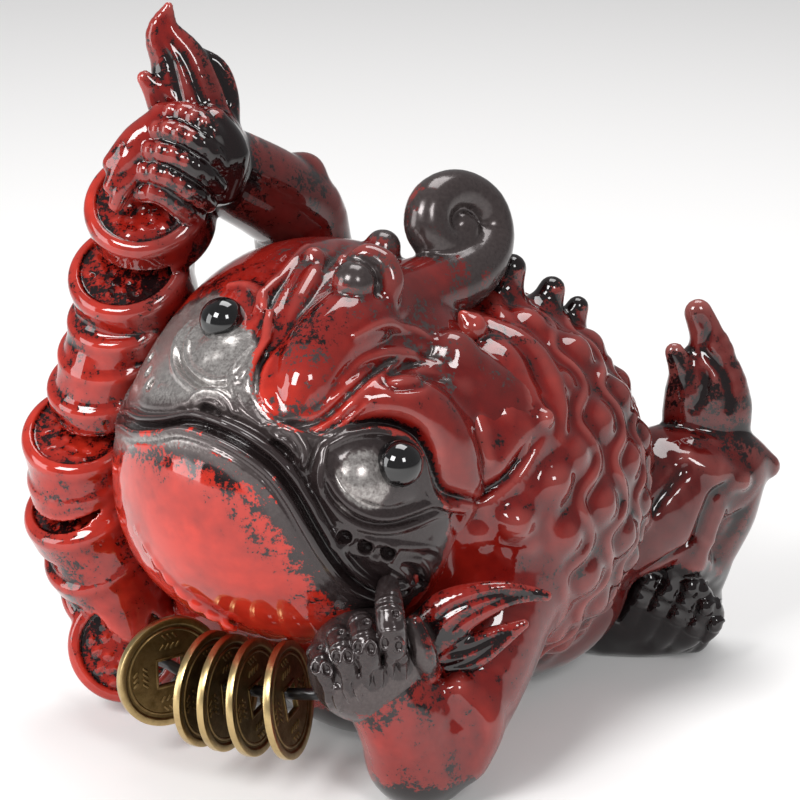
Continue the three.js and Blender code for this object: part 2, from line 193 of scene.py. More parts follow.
def nearest(near, line):
    """The share of a line that lies nearest to each offset from its start, and the offset from there."""
    share = np.clip(near @ line / (line @ line + 1e-9), 0, 1)
    return share, near - share[..., None] * line


class Clay:
    """A lump of clay on a grid: each value is the distance to the surface, and is minus inside."""

    def __init__(self, low, high, step):
        self.low, self.step = v(*low), step
        counts = np.ceil((v(*high) - self.low) / step).astype(int) + 1
        self.field = np.full(counts, FAR, np.float32)

    def region(self, low, high):
        """The window of the grid between two corners, and the places of its points."""
        first = np.maximum(np.floor((low - self.low) / self.step).astype(int), 0)
        last = np.minimum(np.ceil((high - self.low) / self.step).astype(int) + 1, self.field.shape)
        window = tuple(slice(a, max(a, b)) for a, b in zip(first, last))
        lines = [
            (self.low[i] + self.step * np.arange(first[i], max(first[i], last[i]))).astype(np.float32) for i in range(3)
        ]
        return window, np.stack(np.meshgrid(*lines, indexing="ij"), -1)

    def join(self, window, shape, soft, cut=False):
        """Joins a shape to the clay, or cuts it out, with the seam rounded by the given size."""
        clay = -self.field[window] if cut else self.field[window]
        overlap = np.maximum(soft - np.abs(clay - shape), 0)
        joined = np.minimum(clay, shape) - overlap**2 / (4 * soft)
        self.field[window] = -joined if cut else joined

    def ball(self, centre, radii, soft=2.0, axes=None, cut=False):
        """A ball, or an egg with a radius for each axis."""
        centre = np.array(centre, float)
        radii = np.broadcast_to(np.array(radii, np.float32), 3)
        reach = radii.max() + soft + RIM
        window, places = self.region(centre - reach, centre + reach)
        offset = (places - centre).astype(np.float32)
        if axes is not None:
            offset = offset @ np.array(axes, np.float32).T
        scaled = np.linalg.norm(offset / radii, axis=-1)
        steep = np.linalg.norm(offset / radii**2, axis=-1) + 1e-6
        self.join(window, scaled * (scaled - 1) / steep, soft, cut)

    def roll(self, points, radii, soft=1.2, flat=1.0, normal=None):
        """A roll of clay along a smooth curve. Flat below 1 presses it thin along the normal."""
        spine, shares = curve(points, max(0.8, self.step * 1.4, 0.2 * np.max(radii)))
        thick = spread(radii, shares)
        edge = thick.max() + soft + RIM
        window, places = self.region(spine.min(0) - edge, spine.max(0) + edge)
        if 0 in places.shape:
            return
        shape = np.full(places.shape[:3], FAR, np.float32)
        start = places[0, 0, 0]
        for one, two, r1, r2 in zip(spine, spine[1:], thick, thick[1:]):
            reach = max(r1, r2) + soft + RIM
            a = np.maximum(np.floor((np.minimum(one, two) - reach - start) / self.step).astype(int), 0)
            b = np.maximum(np.ceil((np.maximum(one, two) + reach - start) / self.step).astype(int) + 1, a)
            box = tuple(slice(i, j) for i, j in zip(a, b))
            share, off = nearest(places[box] - one.astype(np.float32), (two - one).astype(np.float32))
            wide = np.linalg.norm(off, axis=-1)
            distance = wide - (r1 + share * (r2 - r1))
            if flat < 1:
                press = np.array(normal, np.float32)
                pressed = np.linalg.norm(off + press * (off @ press)[..., None] * (1 / flat - 1), axis=-1)
                distance = (pressed - (r1 + share * (r2 - r1))) * wide / (pressed + 1e-6)
            np.minimum(shape[box], distance, out=shape[box])
        self.join(window, shape, soft)

    def on_skin(self, points, centre, lift=0.0):
        """The points moved along their rays from the centre on to the skin, and lifted off it."""
        spine, shares = curve(points, 1.0)
        ways = spine - centre
        ways /= np.linalg.norm(ways, axis=1, keepdims=True)
        reaches = np.arange(30, 70, 0.25)
        rays = centre + ways[:, None] * reaches[None, :, None]
        depth = self.sample(self.field, rays.reshape(-1, 3)).reshape(len(ways), len(reaches))
        last = len(reaches) - 1 - np.argmax(depth[:, ::-1] < 0, axis=1)
        return centre + ways * (evened(reaches[last]) + spread(lift, shares))[:, None]

    def seen(self, points, way, spacing=1.0):
        """The points moved along a direction on to the skin that faces it."""
        spine = curve(points, spacing)[0]
        reaches = np.arange(14, -14, -0.25)
        rays = spine[:, None] + way * reaches[None, :, None]
        depth = self.sample(self.field, rays.reshape(-1, 3)).reshape(len(spine), len(reaches))
        return spine + way * evened(reaches[np.argmax(depth < 0, axis=1)])[:, None]

    def tool(self, points, width, depth, centre=None):
        """Draws a rounded tool along the skin, which sinks, or rises where the depth is minus."""
        spine, shares = curve(points, max(0.8, self.step * 1.4))
        depths = spread(depth, shares)
        edge = 2.4 * width + (8 if centre is not None else 0)
        window, places = self.region(spine.min(0) - edge, spine.max(0) + edge)
        if 0 in places.shape:
            return
        near_skin = np.abs(self.field[window]) < 4
        places = places[near_skin]
        if centre is not None:
            radius = np.linalg.norm(spine - centre, axis=1).mean()
            places = places - centre
            places = places / (np.linalg.norm(places, axis=-1, keepdims=True) + 1e-6) * radius
            spine = spine - centre
            spine = spine / np.linalg.norm(spine, axis=1, keepdims=True) * radius
        mark = np.zeros(len(places), np.float32)
        for one, two, d1, d2 in zip(spine, spine[1:], depths, depths[1:]):
            share, off = nearest(places - one.astype(np.float32), (two - one).astype(np.float32))
            stroke = (d1 + share * (d2 - d1)) * np.exp(-((off**2).sum(-1)) / width**2)
            mark = np.where(np.abs(stroke) > np.abs(mark), stroke, mark)
        self.field[window][near_skin] += mark

    def smooth(self, times=1):
        """Strokes the clay smooth: each point takes on part of its neighbours' distance."""
        for _ in range(times):
            for axis in range(3):
                field = np.moveaxis(self.field, axis, 0)
                field[1:-1] = (field[:-2] + 2 * field[1:-1] + field[2:]) / 4

    def level(self):
        """Cuts the clay off level at the ground."""
        heights = self.low[2] + self.step * np.arange(self.field.shape[2], dtype=np.float32)
        self.field = np.maximum(self.field, -heights)

    def sample(self, values, places):
        """The values of a grid like this one at any places, read between its points."""
        spot = np.clip((places - self.low) / self.step, 0, np.array(values.shape) - 1.001)
        base = spot.astype(int)
        rest = spot - base
        total = 0
        for corner in np.ndindex(2, 2, 2):
            weight = np.prod(np.where(corner, rest, 1 - rest), axis=1)
            total = total + weight * values[tuple((base + corner).T)]
        return total

    def hollowness(self, places):
        """How hollow the skin is at each place, from -1 on a crest to 1 in a crease."""
        smooth = np.clip(self.field, -FAR, FAR)
        reach = 2  # grid points on each side that count
        count = 2 * reach + 1
        for axis in range(3):
            pads = [(reach + 1, reach) if i == axis else (0, 0) for i in range(3)]
            sums = np.cumsum(np.pad(smooth, pads, "edge"), axis)
            ahead = np.take(sums, range(count, sums.shape[axis]), axis)
            behind = np.take(sums, range(0, sums.shape[axis] - count), axis)
            smooth = (ahead - behind) / count
        deeper = self.sample(np.clip(self.field, -FAR, FAR), places) - self.sample(smooth, places)
        return np.clip(deeper * 2, -1, 1)

    def skin(self, name, spare=0.0):
        """The surface of the clay as a mesh in metres. The more it may spare, the larger its smooth faces."""
        for axis in range(3):
            np.moveaxis(self.field, axis, 0)[[0, -1]] = FAR
        grid = openvdb.FloatGrid()
        grid.copyFromArray(np.ascontiguousarray(self.field))
        places, triangles, quads = grid.convertToPolygons(isovalue=0.0, adaptivity=spare)
        places = places * self.step + self.low
        mesh = bpy.data.meshes.new(name)
        mesh.vertices.add(len(places))
        mesh.vertices.foreach_set("co", (places * unit).astype(np.float32).ravel())
        corners = np.concatenate([triangles.ravel(), quads.ravel()]).astype(np.int32)
        mesh.loops.add(corners.size)
        mesh.loops.foreach_set("vertex_index", corners)
        starts = np.concatenate([np.arange(0, triangles.size, 3), triangles.size + np.arange(0, quads.size, 4)])
        mesh.polygons.add(len(starts))
        mesh.polygons.foreach_set("loop_start", starts.astype(np.int32))
        mesh.update(calc_edges=True)
        mesh.validate()
        mesh.shade_smooth()
        steps = np.eye(3) * self.step
        slopes = np.stack([self.sample(self.field, places + e) - self.sample(self.field, places - e) for e in steps], 1)
        slopes /= np.linalg.norm(slopes, axis=1, keepdims=True) + 1e-9
        mesh.normals_split_custom_set_from_vertices(slopes.tolist())
        piece = bpy.data.objects.new(name, mesh)
        bpy.context.scene.collection.objects.link(piece)
        return piece, places


def inside(places, points, radii):
    """How deep each place lies inside a roll along the points, in units; minus outside."""
    spine, shares = curve(points, 2.0)
    thick = spread(radii, shares)
    depth = np.full(len(places), -1e3)
    for one, two, r1, r2 in zip(spine, spine[1:], thick, thick[1:]):
        share, off = nearest(places - one, two - one)
        depth = np.maximum(depth, r1 + share * (r2 - r1) - np.linalg.norm(off, axis=1))
    return depth


def paint(piece, **layers):
    """Stores each layer as a value on every point of the mesh, for the glaze to read."""
    for name, values in layers.items():
        layer = piece.data.attributes.new(name, "FLOAT", "POINT")
        layer.data.foreach_set("value", values.astype(np.float32))


def zones(*depths, base):
    """One layer from several dark zones, which pass from specks to solid within a few units."""
    deepest = np.maximum.reduce([*depths, np.full(len(depths[0]), base)])
    return np.clip(np.where(deepest > 1, deepest * 2.6 - 1.6, deepest) / 9, -1, 1)


head = v(-25, -5, 73)
nose = normalized(v(-0.283, -0.825, 0.488))
leftward = normalized(v(0.733, -0.514, -0.444))
crownward = normalized(np.cross(nose, leftward))
head_axes = [leftward, nose, crownward]


def on_head(longitude, latitude, reach):
    """The place that lies so far from the head's centre, by longitude and latitude in degrees."""
    lon, lat = math.radians(longitude), math.radians(latitude)
    way = math.cos(lat) * (math.cos(lon) * nose + math.sin(lon) * leftward) + math.sin(lat) * crownward
    return head + reach * way


def face(side, places):
    """Places on the head by longitude, latitude and reach; side 1 is its left and -1 its right."""
    return [on_head(side * longitude, latitude, reach) for longitude, latitude, reach in places]


def meridians(places):
    """Places on a ball round the head's centre, by longitude and latitude in degrees."""
    return [on_head(longitude, latitude, 50) for longitude, latitude in places]


def on_face(clay, longitude, latitude):
    """The place on the head's skin at a longitude and a latitude."""
    return clay.on_skin(meridians([(longitude, latitude), (longitude + 1, latitude)]), head)[0]


def lay(clay, places, radii, soft, sunk):
    """Lays a roll of clay along the head's skin, sunk into it by a share of its radius."""
    thick = spread(radii, curve(meridians(places), 1.0)[1])
    clay.roll(clay.on_skin(meridians(places), head, -sunk * thick)[::2], thick[::2], soft)


def score(clay, places, width, depth):
    """Draws a line in the head's skin with a rounded tool."""
    clay.tool(meridians(places), width, depth, head)


clay = Clay((-80, -60, 18), (42, 54, 150), step=0.58)
HEAD_RADIUS = 47
clay.ball(head, HEAD_RADIUS)
# The throat is pressed in above the brass coins.
window, places = clay.region(head - 52, head + 52)
ways = (places - head) / (np.linalg.norm(places - head, axis=-1, keepdims=True) + 1e-6)
clay.field[window] += 4.2 * np.maximum(ways @ normalized(v(-0.28, -0.5, -0.82)), 0) ** 6
clay.ball((-20, 3, 87), 43, 6)
clay.ball(on_head(0, 3, 15), 36.5, 5)
for side in (1, -1):
    clay.ball(on_head(side * 40, 16, 37), 12.4, 4)
    clay.ball(on_head(side * 54, 46, 34), 18, 6)

# Brows: a heavy roll over each eye, running back and down behind it.
left_brow = face(
    1,
    [
        (13, 19, 45.5), (19, 30, 46.6), (30, 38.5, 47), (44, 41, 46.8), (58, 38.5, 46.2), (71, 33, 45.5),
        (82, 24, 44.5), (88, 12, 43),
    ],
)
clay.roll(left_brow, [3, 5.2, 7.2, 8.2, 8, 7, 5, 3], 1.6)
right_brow = face(-1, [(14, 22, 46), (19, 31, 47), (29, 38, 47), (43, 41, 46.6), (58, 38, 46), (70, 32, 45)])
clay.roll(right_brow, [3, 5, 6.8, 7.6, 7.2, 5.4], 1.6)
# Forehead lobe, running back into the horn that curls up like a snail.
horn = [
    *face(1, [(8, 17, 48.5), (4, 25, 47.5), (-1, 37, 47), (-2, 50, 49)]),
    (-2, -6, 117), (7.5, 6, 117.2), (15.5, 13.5, 118.4), (20.6, 20.5, 121.4), (22.8, 25, 126.4), (21.6, 25.6, 132.6),
    (17.2, 23.2, 137.2), (11.9, 18.6, 138.8), (7.6, 14.2, 136.6), (6.8, 12, 132), (9.2, 12.6, 127.6),
    (13.2, 15.4, 126.4), (16, 17.6, 128.4), (15.2, 16.8, 130.6), (13.8, 15.4, 129.6),
]
horn_radii = [3.4, 7.4, 9.4, 9.8, 9.6, 9, 8.4, 7.4, 6.2, 5.4, 5.2, 5.4, 5.8, 6.0, 5.8, 5.2, 4.4, 3.8, 3.4]
run = np.concatenate([[0], np.cumsum(np.linalg.norm(np.diff(horn, axis=0), axis=1))])
horn_radii = np.interp(np.linspace(0, 1, 60), run / run[-1], horn_radii)
clay.roll(horn, horn_radii, 1.0)
clay.smooth(2)
# Eyes: bare eyeballs with crisp folds of lid round them.
clay.ball(on_head(36, 13.5, 41.5), 10, 0.8)
clay.ball(on_head(-25, 15.5, 42), 9.4, 0.8)
upper_lid = [
    (20.5, 11), (22, 15), (25, 21), (31, 26.6), (39, 29.6), (47, 28.6), (54, 24.6), (60, 21.6), (68, 21.4),
    (76, 23),
]
lay(clay, upper_lid, [0.7, 1.1, 1.5, 1.7, 1.7, 1.6, 1.5, 1.4, 1.2, 0.6], soft=0.5, sunk=0.0)
lay(
    clay,
    [(21, 12), (24, 9.4), (28, 7.2), (35, 5.2), (43, 6), (50, 9.4), (56, 14.4), (62, 19.6), (68, 21)],
    [0.5, 0.9, 1.1, 1.2, 1.2, 1.2, 1.1, 0.9, 0.6],
    soft=0.5,
    sunk=0.1,
)
lay(
    clay,
    [(22, 9.6), (25, 6), (30, 3), (37, 1.6), (44, 2.4), (52, 6), (59, 11.4), (66, 17.6), (73, 20)],
    [0.5, 1, 1.3, 1.4, 1.4, 1.4, 1.2, 1, 0.5],
    soft=0.6,
    sunk=0.2,
)
score(clay, [(26, 7), (31, 4.4), (38, 3.3), (45, 4.3), (52, 7.9), (58, 13), (64, 18)], 0.7, [0.3, 0.9, 1, 1, 0.9, 0.3])
score(
    clay,
    [(24, 23), (30, 29.6), (39, 33), (48, 32), (56, 28), (64, 25), (74, 26), (84, 28)],
    1.0,
    [0.6, 1.8, 2.2, 2.2, 2, 1.8, 1.2, 0.4],
)
score(
    clay,
    [(24.5, 13.4), (28.6, 9.8), (35, 7.8), (42, 8.6), (49, 12), (55, 17.4)],
    0.6,
    [0.2, 0.7, 0.8, 0.8, 0.7, 0.3],
)
lay(
    clay,
    [(-38, 17), (-37, 12.4), (-31, 8.6), (-24, 7), (-17, 7.6), (-12.4, 10.4), (-10.6, 15), (-11.6, 20)],
    [0.6, 1, 1.2, 1.2, 1.2, 1.1, 1, 0.6],
    soft=0.5,
    sunk=0.1,
)
lay(
    clay,
    [(-44, 16), (-42, 9.6), (-34, 4.6), (-24, 3), (-16, 3.8), (-9.8, 7.6), (-7.8, 13)],
    [0.6, 1.1, 1.4, 1.4, 1.4, 1.2, 0.6],
    soft=0.6,
    sunk=0.2,
)
lay(
    clay,
    [(-12, 20), (-14, 26), (-20, 31), (-28, 34), (-38, 34), (-46, 30)],
    [0.8, 1.4, 1.6, 1.6, 1.4, 0.8],
    soft=0.6,
    sunk=0.0,
)
score(clay, [(-40, 14), (-37, 8.4), (-30, 5.4), (-23, 4.8), (-15, 5.6), (-10, 10)], 0.7, [0.3, 0.9, 1, 1, 0.9, 0.3])
# Nostrils: a raised swirl that runs into its pit.
for mound, swirl, curl, hole in (
    (
        (13, 6, 46.2),
        [
            (4.4, 4.4), (5.4, 8), (9.4, 10.8), (14.6, 11), (19, 8.8), (19.6, 4.6), (16, 1.8), (11, 1.6),
            (8, 3.4),
        ],
        [(9.6, 6.4), (12.6, 8.2), (16, 7), (15.4, 4.6)],
        (12.6, 5.2),
    ),
    (
        (-9.6, 2.4, 46.6),
        [(-17, -2.4), (-16.6, 2), (-12.4, 6), (-7, 7), (-2.8, 4.6), (-3.4, 0.6), (-8, -1.4), (-12, -1.4)],
        [(-12.8, 1.4), (-9.8, 3.8), (-6.6, 2.8), (-7.4, 0.8)],
        (-9.8, 1.2),
    ),
):
    clay.ball(on_head(*mound), 4.6, 3)
    lay(clay, swirl, [0.4, 0.9, 1.2, 1.3, 1.3, 1.2, 1.1, 0.9, 0.5], soft=0.45, sunk=-0.1)
    lay(clay, curl, [0.5, 0.9, 0.8, 0.4], soft=0.4, sunk=-0.1)
    clay.ball(on_face(clay, *hole), [2.7, 3.6, 1.4], 0.5, head_axes, cut=True)
# Folds of skin from the lobe and the inner corner of the eye down over the snout.
lay(clay, [(21.5, 14), (24, 9), (27.5, 3.6), (33, -3), (36, -5)], [0.6, 1.1, 1.1, 0.8, 0.4], soft=0.5, sunk=0.1)
lay(clay, [(20, 13), (21.4, 8), (24, 2), (29, -4)], [0.5, 0.9, 0.9, 0.4], soft=0.5, sunk=0.2)
score(clay, [(19, 16), (20.4, 10.4), (22.6, 5.4), (27, -1)], 0.8, [0.6, 1.2, 1.1, 0.3])
lay(clay, [(-32, -3), (-25, -1.6), (-18, -1.6), (-12, -3.6)], [0.6, 1.6, 1.5, 0.5], soft=1.2, sunk=0.6)
lay(clay, [(24, -4), (28, 2), (27, 6)], [0.5, 1, 0.4], soft=0.8, sunk=0.4)

# Lips: the upper one hangs over the lower one, both drawn back on the cheeks.
mouth = [
    (-70, -13), (-64, -17.6), (-56, -20), (-45, -18), (-33, -15.6), (-21, -10), (-13, -4), (-4, -0.6),
    (5, 1.4), (15, 1.6), (23, -0.6), (32, -4.4), (42, -8.4), (54, -11.4), (66, -11), (75, -6), (80, 1),
]


def lip(drop, ends=1.0):
    return [(lon * ends, lat + drop) for lon, lat in mouth]


lay(clay, lip(-4.2, 0.97), [0.5, 1.8, 2.8, 3.4, 3.6, 3.6, 3.4, 2.8, 1.8, 0.6], soft=1.6, sunk=0.55)
lay(clay, lip(1.9, 0.99), [0.6, 1.3, 1.7, 2, 2.1, 2.1, 2.1, 2, 1.7, 1.4, 0.8], soft=0.6, sunk=0.1)
lay(clay, lip(-2.4, 0.98), [0.5, 1, 1.3, 1.4, 1.4, 1.4, 1.4, 1.3, 1, 0.5], soft=0.5, sunk=0.0)
score(clay, lip(-0.4), 0.85, [0.6, 1.8, 2.4, 2.4, 2.4, 1.8, 0.8])
score(clay, lip(4.2), 0.9, [0.2, 0.9, 1.1, 1.2, 1.2, 1.2, 1.1, 0.8, 0.3])
score(clay, lip(-4.6, 0.96), 0.6, [0.1, 0.5, 0.7, 0.7, 0.7, 0.5, 0.1])

# Cheeks: a raised band with three ringed pits on the left, three small pits on the right.
lay(
    clay,
    [(38, -3), (44, -0.6), (51, 1.4), (58, 3.8), (66, 7), (74, 9), (82, 7)],
    [0.6, 1, 1.1, 1.1, 1, 0.9, 0.4],
    soft=0.5,
    sunk=0.1,
)
lay(
    clay,
    [(40, -7), (47, -5), (54, -3.4), (62, -2), (70, -2.4), (77, -6)],
    [0.6, 1, 1.1, 1, 0.8, 0.4],
    soft=0.6,
    sunk=0.2,
)
lay(clay, [(63, 1), (69, 3.4), (76, 2.6), (82, -2), (85, -8)], [0.6, 1.4, 1.6, 1.3, 0.6], soft=0.6, sunk=0.2)
score(clay, [(66, 0.4), (71, 0.6), (77, -1.6), (80, -6)], 0.9, [0.4, 1.4, 1.4, 0.4])
for longitude, latitude in [(42, -2.6), (49.4, -1.6), (57.4, 0.6)]:
    ring = [(longitude + 2.5 * math.cos(a), latitude + 2.5 * math.sin(a)) for a in np.linspace(0, 2 * math.pi, 15)]
    lay(clay, ring, [0.75], soft=0.4, sunk=-0.1)
    clay.ball(on_face(clay, longitude, latitude), [1.6, 3.2, 1.6], 0.4, head_axes, cut=True)
for longitude, latitude in [(-40, -5), (-48, -3), (-56, 0)]:
    clay.ball(on_face(clay, longitude, latitude), [1.2, 2.6, 1.5], 0.4, head_axes, cut=True)

# Two folds lie round the foot of the lobe, and a deep line runs round it.
lobe_foot = [
    (-24, 52), (-17, 40), (-12.4, 30), (-9, 20), (-3, 12.6), (3, 10.4), (10, 12), (15.4, 18), (17.6, 30),
    (20, 44), (26, 56),
]
score(clay, lobe_foot, 1.0, [0.3, 1.3, 1.8, 1.8, 1.6, 1.6, 1.8, 1.8, 1.4, 0.3])
lay(
    clay,
    [(-13.4, 27), (-10.6, 19), (-6, 13.6), (1, 11), (8, 10.4), (15, 13), (19, 17), (21.6, 24), (23.6, 31)],
    [0.5, 1, 1.1, 1.1, 1.1, 1.1, 1, 0.9, 0.4],
    soft=0.45,
    sunk=0.0,
)
lay(clay, [(-16, 22), (-13.6, 14.6), (-8.4, 9.8), (-2, 7.4), (4, 7.6)], [0.4, 0.9, 1, 0.9, 0.4], soft=0.45, sunk=0.1)
score(clay, [(22.6, 29), (20.6, 22), (17.6, 15.4), (11, 11.6)], 0.7, [0.1, 0.8, 0.9, 0.2])
# The crease that runs up from the left brow, and the mounds of the temple.
score(
    clay,
    [(22, 34), (25, 44), (31, 53), (42, 60), (56, 64), (68, 60), (78, 50), (88, 42)],
    1.5,
    [0.3, 1.6, 2.2, 2, 1.8, 2, 1.8, 0.4],
)
score(clay, [(34, 47), (44, 51), (52, 50)], 1.1, [0, 1.2, 0])
score(clay, [(20, 40), (26, 37), (33, 41), (38, 48)], 1.0, [0, 1.1, 0.9, 0])
score(clay, [(-18, 24), (-24, 34), (-34, 43), (-46, 50)], 1.1, [0.3, 1.5, 1.4, 0.2])
score(clay, [(-22, 44), (-30, 52), (-42, 60), (-54, 62)], 1.3, [0.3, 1.3, 1.3, 0.2])
lay(clay, [(-40, 55), (-30, 50), (-20, 41), (-14.6, 33), (-10.6, 25)], [0.8, 2.4, 2.6, 2.2, 0.8], soft=1.2, sunk=0.2)
lay(clay, [(-52, 53), (-38, 45), (-30, 36), (-26, 30)], [0.6, 1.6, 1.5, 0.5], soft=1, sunk=0.2)
lay(clay, [(13, 31), (13, 41), (20, 50), (32, 55), (42, 55)], [0.5, 1.4, 1.7, 1.6, 0.6], soft=0.9, sunk=0.2)
lay(clay, [(7, 41), (11, 52), (22, 60), (36, 62)], [0.5, 1.3, 1.6, 0.6], soft=0.9, sunk=0.2)
for longitude, latitude, size in [(46, 61, 4.6), (47, 63, 6), (54, 52, 1.4)]:
    clay.ball(on_face(clay, longitude, latitude), size * 0.8, 2.2)
# A knob high on the forehead lobe, with a roll bent round it.
clay.ball((-11, -21, 127.4), 5.4, 0.9)
knob_roll = [
    (-12.5, -16, 131), (-8.1, -15.5, 132.6), (-4.2, -16.5, 131), (-2.2, -18.5, 127.4), (-3.2, -20.4, 122.6),
    (-5.6, -23, 118.6),
]
clay.roll(knob_roll, [1.4, 2.8, 3.4, 3.2, 2.6, 0.9], 1.1)
clay.tool([(-13, -21, 133.4), (-7.4, -20.6, 132.4), (-5, -21.6, 128), (-6.4, -23.6, 122.6)], 0.9, [0.2, 1.2, 1.4, 0.4])
knobs = [(-60, 72, 59.5, 4.6), (-38, 52, 56.4, 2.6), (-30, 58, 57, 1.6)]
for longitude, latitude, reach, size in knobs:
    clay.ball(on_head(longitude, latitude, reach), size, 1.8)

# The skin runs on behind the cheek into the jowl of the body, and the rest of the ball is hollowed.
for place, size in [
    ((24.6, -9.5, 89.6), 11.6), ((25.3, -12.1, 87.6), 12.2), ((21, -13, 80), 10.4), ((14, -14, 98), 11),
]:
    clay.ball(place, size, 7)
neck = normalized(v(37.5, 27, -12.5))
window, places = clay.region(head - 56, head + 64)
behind_cheek = np.minimum((places - head) @ neck - 31, 104 - places[..., 2])
clay.field[window] = np.maximum(clay.field[window], behind_cheek)

# The wavy rim of loose skin along the right edge of the throat.
frill = [
    (-67.3, -17, 90), (-67.3, -23, 84), (-66.7, -26.6, 79), (-65.3, -29.7, 73.8), (-63.4, -32.3, 68.3),
    (-60.4, -34.6, 62.7), (-56.6, -36.3, 56.9), (-51.8, -37.6, 51.7), (-47.2, -38.5, 48.1), (-42, -38.6, 44),
]
spine, shares = curve(frill, 1.2)
outward = (spine - head) / np.linalg.norm(spine - head, axis=1, keepdims=True)
for sink, turn, size in ((1.7, 0, 1.9), (1.0, 1.6, 1.3)):
    waves = sink + 0.45 * np.sin(shares * 26 * math.pi + turn)
    ripple = spine - 0.5 * nose - outward * waves[:, None] - nose * (1.0 + 2.4 * (turn > 0))
    clay.roll(ripple, [0.8, size, size, size, size, size, 0.8], 0.8)

head_piece, places = clay.skin("toad_head", spare=0.02)
offset = places - head
reach = np.linalg.norm(offset, axis=1)
latitude = np.degrees(np.arcsin(np.clip(offset @ crownward / reach, -1, 1)))
longitude = np.degrees(np.arctan2(offset @ leftward, offset @ nose))
# The gunmetal mask runs from the lips over the snout and round both eyes.
mask_top = np.interp(
    longitude,
    [-80, -66, -56, -46, -38, -30, -22, -14, -8, 0, 8, 14, 18, 22, 30, 42, 54, 62, 70, 78, 86],
    [0, 14, 22, 28, 29, 28, 27, 24, 19, 13, 12, 14.6, 18, 23, 29.5, 32.5, 30, 25.5, 21, 12, 0],
)
mask_low = np.interp(
    longitude,
    [-80, -50, -32, -17, -5, 8, 18, 28, 41, 59, 69, 86],
    [-34, -32, -25, -16.5, -11, -9, -11, -16, -22, -26, -24, -12],
)
mask_side = np.interp(longitude, [-90, -80, 78, 88], [-10, 6, 6, -10])
mask = np.minimum(np.minimum((mask_top - latitude) * 0.8, (latitude - mask_low) * 0.36), mask_side)
mask = np.where((reach > 53.5) & (latitude > 22), -9, mask)
horn_dark = np.minimum(inside(places, horn[6:], np.linspace(12, 10, 20)) * 0.5, 0.3 * (places[:, 0] + 1.6))
tips = np.full(len(places), -9.0)
for lon, lat, far, size in knobs[:1] + [(-8, 51.5, 59.6, 5.8)]:
    tips = np.maximum(tips, size + 0.6 - np.linalg.norm(places - on_head(lon, lat, far + 0.5 * size), axis=1))
left_white = inside(places, [on_head(36, 13.5, 41.5), on_head(36, 13.6, 41.6)], [10.4])
right_white = inside(places, [on_head(-25, 15.5, 42), on_head(-25, 15.6, 42.1)], [9.7])
eye_white = np.maximum(left_white, right_white)
eye_white = np.where(mask > 1, np.clip(2.2 * eye_white, 0, 0.74), 0)
lobe_dark = np.minimum(inside(places, [on_head(6, 12, 50), on_head(13, 17, 50)], [5.5, 4]) * 0.7, 1.2)
root_dark = np.minimum(inside(places, [(5, 3, 120), (15, 13, 121)], [8, 9]) * 0.3, 0.6)
horn_dark = np.maximum.reduce([horn_dark, lobe_dark, root_dark])
# The slip is rubbed lightest on the snout, and stays dark and glossy round the mouth.
over_mouth = latitude - np.interp(longitude, *np.array(mouth).T)
over, under = np.clip(0.3 + 0.07 * over_mouth, 0.3, 1), np.clip(0.3 - 0.12 * over_mouth, 0.3, 0.9)
sheen = np.where(over_mouth > 0, over, under)
sheen *= np.clip(0.62 - 0.011 * longitude, 0.3, 0.8)
throat = np.where((latitude < mask_low) & (longitude > -80), 1.0, 0.0)
# A few specks lie all over, more on the crown and fewer on the throat, where the glaze is thinnest.
specked = -2.5 - 2.2 * throat + 1.4 * np.clip((places[:, 2] - 96) / 14, 0, 1)
# The red is set deeper towards the right and the back of the head and on the crown, and lighter on the throat.
aside = 0.011 * (places[:, 0] + 25) + 0.004 * (places[:, 1] + 20)
crown = 0.009 * (places[:, 2] - 88) * (places[:, 2] > 88)
paint(
    head_piece,
    dark=zones(mask, horn_dark, np.minimum(tips * 1.2, 2.6), specked, base=-9),
    thick=np.clip(0.16 + aside + crown - 0.3 * throat, 0, 0.75),
    satin=np.where(horn_dark > mask, 0.4, np.clip(mask * 1.2, 0, 1) * np.maximum(eye_white, sheen)),
    hollow=clay.hollowness(places),
)


# Glaze: a copper-red flambe glaze fired over iron-black slip. It is glass-smooth, thins to a bright
# red on crests, pools dark in the creases, and breaks into black specks towards the dark parts,
# which carry a satin gunmetal slip. Specks are drawn a little coarser than real ones, to show.
def per(millimetres):
    """The scale of a noise whose grain has this size."""
    return 1000 / millimetres


def stored(material, name):
    """The value that paint has stored on each point under this name."""
    return add_node(material, "ShaderNodeAttribute", attribute_name=name).outputs["Fac"]


def grain(material, size, detail, rough=0.5):
    """A noise through the solid, whose grain has this size in millimetres."""
    where = add_node(material, "ShaderNodeTexCoord").outputs["Object"]
    sockets = {"Vector": where, "Scale": per(size), "Detail": detail, "Roughness": rough}
    return add_node(material, "ShaderNodeTexNoise", sockets).outputs["Fac"]


def mapped(material, value, low, high, start=0.0, end=1.0, **settings):
    """What runs from start to end while a value runs from low to high."""
    sockets = {"Value": value, "From Min": low, "From Max": high, "To Min": start, "To Max": end}
    return add_node(material, "ShaderNodeMapRange", sockets, **settings).outputs[0]


def mixed(material, share, one, two):
    """One colour that passes into another by a share."""
    made = add_node(material, "ShaderNodeMix", {0: share, 6: one, 7: two}, data_type="RGBA")
    return made.outputs[2]  # the colour sockets of a mix node have no names of their own, only numbers


def ramp(material, factor, stops):
    """A colour ramp with a colour at each of its stops."""
    made = add_node(material, "ShaderNodeValToRGB", {"Fac": factor})
    while len(made.color_ramp.elements) < len(stops):
        made.color_ramp.elements.new(0.5)
    for element, (place, code) in zip(made.color_ramp.elements, stops):
        element.position, element.color = place, linear(code)
    return made.outputs["Color"]


def reckoned(material, operation, *values, clamp=False):
    """What a math node makes of some values."""
    made = add_node(material, "ShaderNodeMath", dict(enumerate(values)), operation=operation, use_clamp=clamp)
    return made.outputs[0]


